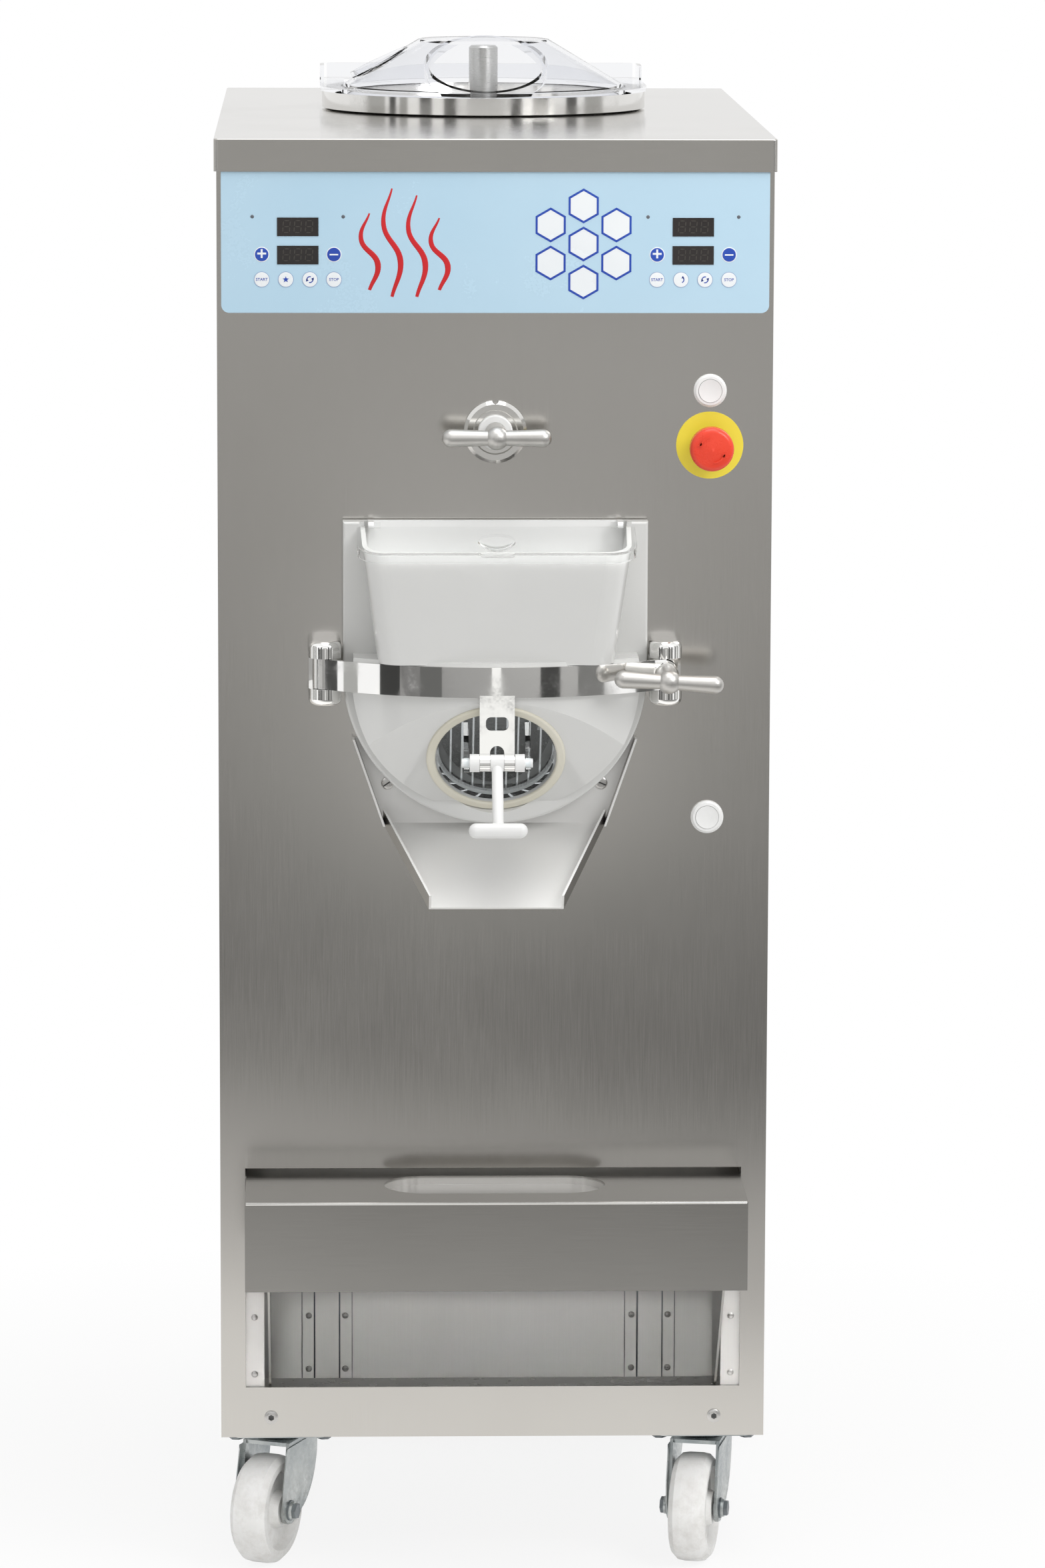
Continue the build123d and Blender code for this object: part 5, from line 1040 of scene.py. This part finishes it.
# number displays: bars of seven-part figures, unlit
figures = {
    "height": 0.0105, "width": 0.0060, "bar": 0.0010, "barShare": 0.44, "rise": 0.00008,
    "pitch": 0.0100, "lean": 0.08, "rows": (1.2283, 1.2033),
}
bar = newOutline(6, 0.5)
bar.scale = (figures["bar"], figures["height"] * figures["barShare"], 1)
applyPlace(bar)
thicken(bar, figures["rise"])
half = figures["width"] / 2
quarter = figures["height"] / 4
barSpots = [(-half, quarter, 0), (half, quarter, 0), (-half, -quarter, 0), (half, -quarter, 0)]
barSpots += [(0, level * 2 * quarter, 1) for level in (-1, 0, 1)]
displayCopies = []
for x in keys["groups"]:
    for z in figures["rows"]:
        for figure in (-1, 0, 1):
            for dx, dz, flat in barSpots:
                spot = (x + figure * figures["pitch"] + dx + dz * figures["lean"], displayFront, z + dz)
                displayCopies.append(copyTo(bar, spot, turn=math.pi / 2 if flat else -figures["lean"]))
settle("display_figures", displayCopies, segmentDim, "cabinet")
discard(bar)
print("film print done")

# emergency stop: two turn arrows raised on the cap
stopArrow = {"shape": {"radius": 0.0115, "width": 0.0014, "sweep": 62, "rise": 0.0004}, "turns": (-20, 160)}
capLow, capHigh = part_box("stop_head")
capFront = ((capLow.x + capHigh.x) / 2, capLow.y, (capLow.z + capHigh.z) / 2)
arrow = bentArrow(**stopArrow["shape"])
arrowCopies = [copyTo(arrow, capFront, turn=math.radians(angle)) for angle in stopArrow["turns"]]
settle("stop_arrows", arrowCopies, redCap, "stop_head")
discard(arrow)
print("stop arrows done")


# stage
def bareMaterial(name):
    finish = bpy.data.materials.new(name)
    finish.use_nodes = True
    tree = finish.node_tree
    tree.nodes.remove(tree.nodes["Principled BSDF"])
    return finish, tree


# one where the camera, a mirror or a clear piece looks, nought for the rays of lamps
def lookedAt(tree):
    seen = addNode(tree, "ShaderNodeLightPath")
    looked = addMath(tree, "MAXIMUM", seen.outputs["Is Camera Ray"], seen.outputs["Is Glossy Ray"])
    return addMath(tree, "MAXIMUM", looked, seen.outputs["Is Transmission Ray"])


# a card that only reflections see, as a studio uses to shape steel
def glowCard(name, finishName, size, place, turn=(0, 0, 0)):
    card = newPlane(size, place, turn)
    finish, tree = bareMaterial(finishName)
    glow = addNode(tree, "ShaderNodeEmission")
    tree.links.new(glow.outputs[0], tree.nodes["Material Output"].inputs["Surface"])
    card.data.materials.append(finish)
    card.name = name
    for sense in ("camera", "diffuse", "transmission", "shadow", "volume_scatter"):
        setattr(card, "visible_" + sense, False)
    return tree, glow.inputs["Color"]


# the floor takes shadows close to the machine and turns white away from it
floorPlan = {"size": 60.0, "color": (0.95, 0.95, 0.945), "clear": 0.30, "white": 1.0, "least": 0.84}
deselectAll()
bpy.ops.mesh.primitive_plane_add(size=floorPlan["size"], location=(0, 0, 0))
floor = bpy.context.object
floor.name = "floor"
floorFinish, tree = bareMaterial("floorFinish")
matt = addNode(tree, "ShaderNodeBsdfDiffuse")
matt.inputs["Color"].default_value = (*floorPlan["color"], 1)
glow = addNode(tree, "ShaderNodeEmission")
glow.inputs["Color"].default_value = (1, 1, 1, 1)
length = addNode(tree, "ShaderNodeVectorMath", operation="LENGTH")
tree.links.new(objectPlace(tree), length.inputs[0])
away = addRange(
    tree, length.outputs["Value"], floorPlan["clear"], floorPlan["white"], floorPlan["least"], 1.0
)
mixShaders(tree, addMath(tree, "MULTIPLY", away, lookedAt(tree)), matt, glow)
floor.data.materials.append(floorFinish)

# the ground ahead, tone by distance: pale close by, dark past a slanting edge, paler again far off
ground = {"reach": 15.0, "width": 9.0, "lift": 0.004, "turn": -0.55, "tint": (1, 0.99, 0.97), "tones": [
    (0.0, 1.15), (0.8, 1.10), (1.25, 0.66), (1.75, 0.66), (2.2, 0.17),
    (3.0, 0.21), (4.4, 0.345), (5.6, 0.365), (9.0, 0.53), (15.0, 0.57)]}
groundSpot = (0, panelFront - ground["reach"] / 2, ground["lift"])
tree, groundColor = glowCard("ground_card", "groundFinish", (ground["width"], ground["reach"]), groundSpot)
parts = splitAxes(tree, objectPlace(tree))
ahead = addMath(tree, "SUBTRACT", panelFront, parts["Y"])
slant = addMath(tree, "MULTIPLY", parts["X"], math.tan(-ground["turn"]))
share = addMath(tree, "DIVIDE", addMath(tree, "ADD", ahead, slant), ground["reach"])
ramp = addNode(tree, "ShaderNodeValToRGB")
stops = ramp.color_ramp.elements
while len(stops) < len(ground["tones"]):
    stops.new(0.5)
for stop, (far, tone) in zip(stops, ground["tones"]):
    stop.position = far / ground["reach"]
    stop.color = (*(tone * part for part in ground["tint"]), 1)
tree.links.new(share, ramp.inputs[0])
tree.links.new(ramp.outputs[0], groundColor)

# one bright strip far ahead, seen in the strap's middle and its tongue
glint = {"size": (0.42, 3.4), "x": 0.12, "ahead": 5.6, "lift": 0.010, "color": (1, 1, 0.98)}
glintSpot = (glint["x"], panelFront - glint["ahead"], glint["lift"])
tree, glintColor = glowCard("glint_card", "glintFinish", glint["size"], glintSpot)
glintColor.default_value = (*glint["color"], 1)

# upright screens that the strap and brackets mirror: "turn" 0 faces the machine, 90 flanks it
screenPlan = {"height": 2.3, "middle": 1.2, "tint": (1, 1, 0.97)}
screens = {
    "screen_left_far": {"at": (-3.4, -3.6), "width": 1.1, "tone": 0.05, "turn": 0},
    "screen_left": {"at": (-1.7, -3.6), "width": 0.7, "tone": 0.14, "turn": 0},
    "screen_right": {"at": (1.5, -3.6), "width": 0.6, "tone": 0.06, "turn": 0},
    "screen_right_far": {"at": (3.1, -3.6), "width": 1.3, "tone": 0.20, "turn": 0},
    "screen_ahead": {"at": (0.0, -15.2), "width": 7.0, "tone": 0.46, "turn": 0},
    "screen_side_grey": {"at": (-3.6, -2.05), "width": 0.55, "tone": 0.42, "turn": 90},
    "screen_side_dark": {"at": (-3.6, -1.35), "width": 0.40, "tone": 0.07, "turn": 90},
    "screen_side_pale": {"at": (-3.6, -0.35), "width": 1.10, "tone": 0.48, "turn": 90},
    "screen_side_right": {"at": (3.6, -1.70), "width": 0.70, "tone": 0.12, "turn": 90},
    "screen_side_right_pale": {"at": (3.6, -0.35), "width": 1.10, "tone": 0.46, "turn": 90},
}
for name, screen in screens.items():
    size = (screen["width"], screenPlan["height"])
    spot = (*screen["at"], screenPlan["middle"])
    turn = (math.pi / 2, 0, math.radians(screen["turn"]))
    tree, screenColor = glowCard(name, name + "Finish", size, spot, turn)
    screenColor.default_value = (*(screen["tone"] * part for part in screenPlan["tint"]), 1)

# a soft sky that lights, and a plain white one that is looked at
sky = {"light": 0.62, "seen": 1.0}
world = bpy.data.worlds.new("studio")
bpy.context.scene.world = world
world.use_nodes = True
tree = world.node_tree
soft = tree.nodes["Background"]
white = addNode(tree, "ShaderNodeBackground")
for backdrop, strength in ((soft, sky["light"]), (white, sky["seen"])):
    backdrop.inputs["Color"].default_value = (1, 1, 1, 1)
    backdrop.inputs["Strength"].default_value = strength
mixShaders(tree, lookedAt(tree), soft, white, "World Output")


def hang(name, data):
    holder = bpy.data.objects.new(name, data)
    bpy.context.scene.collection.objects.link(holder)
    return holder


lamps = {
    "keyLamp": {"at": (1.35, -1.7, 2.2), "aim": (0, -0.2, 1.0), "size": (1.0, 1.0),
                "power": 19, "spread": 180, "mirrored": True},
    "fillLamp": {"at": (-2.8, -3.0, 2.6), "aim": (0, -0.2, 0.8), "size": (2.4, 2.4),
                 "power": 4.5, "spread": 180, "mirrored": True},
    "lowLamp": {"at": (0.25, -1.65, 0.12), "aim": (0, -0.2, 0.06), "size": (0.5, 0.3),
                "power": 0.12, "spread": 40, "mirrored": False},
    "nicheLamp": {"at": (-0.10, -2.6, 0.80), "aim": (0, -0.18, 0.165), "size": (0.66, 0.20),
                  "power": 0.22, "spread": 6, "mirrored": False},
    "topLamp": {"at": (0.2, -1.0, 3.8), "aim": (0, -0.2, 1.0), "size": (2.0, 2.0),
                "power": 34, "spread": 180, "mirrored": True},
}
for name, lamp in lamps.items():
    light = bpy.data.lights.new(name, "AREA")
    light.shape = "RECTANGLE"
    light.size, light.size_y = lamp["size"]
    light.energy = lamp["power"]
    light.spread = math.radians(lamp["spread"])
    holder = hang(name, light)
    holder.location = lamp["at"]
    sight = Vector(lamp["aim"]) - Vector(lamp["at"])
    holder.rotation_euler = sight.to_track_quat("-Z", "Y").to_euler()
    holder.visible_camera = False
    holder.visible_glossy = lamp["mirrored"]

# the photo's camera, fitted to the cabinet's edges; angles in radians, lens and sensor in mm
shot = {
    "at": (-0.1523, -6.2260, 1.6652), "right": 0.0302, "down": 0.1580, "roll": 0.0032,
    "lens": 152.2, "sensor": 36, "clip": 200,
}
camera = bpy.data.cameras.new("photoCamera")
camera.sensor_fit = "VERTICAL"
camera.sensor_height = shot["sensor"]
camera.lens = shot["lens"]
camera.clip_end = shot["clip"]
holder = hang("photoCamera", camera)
turned = Matrix.Rotation(-shot["right"], 4, "Z") @ Matrix.Rotation(math.pi / 2 - shot["down"], 4, "X")
holder.matrix_world = Matrix.Translation(shot["at"]) @ turned @ Matrix.Rotation(shot["roll"], 4, "Z")
bpy.context.scene.camera = holder
bpy.context.scene.view_settings.view_transform = "Standard"
print("stage, lamps and camera done")
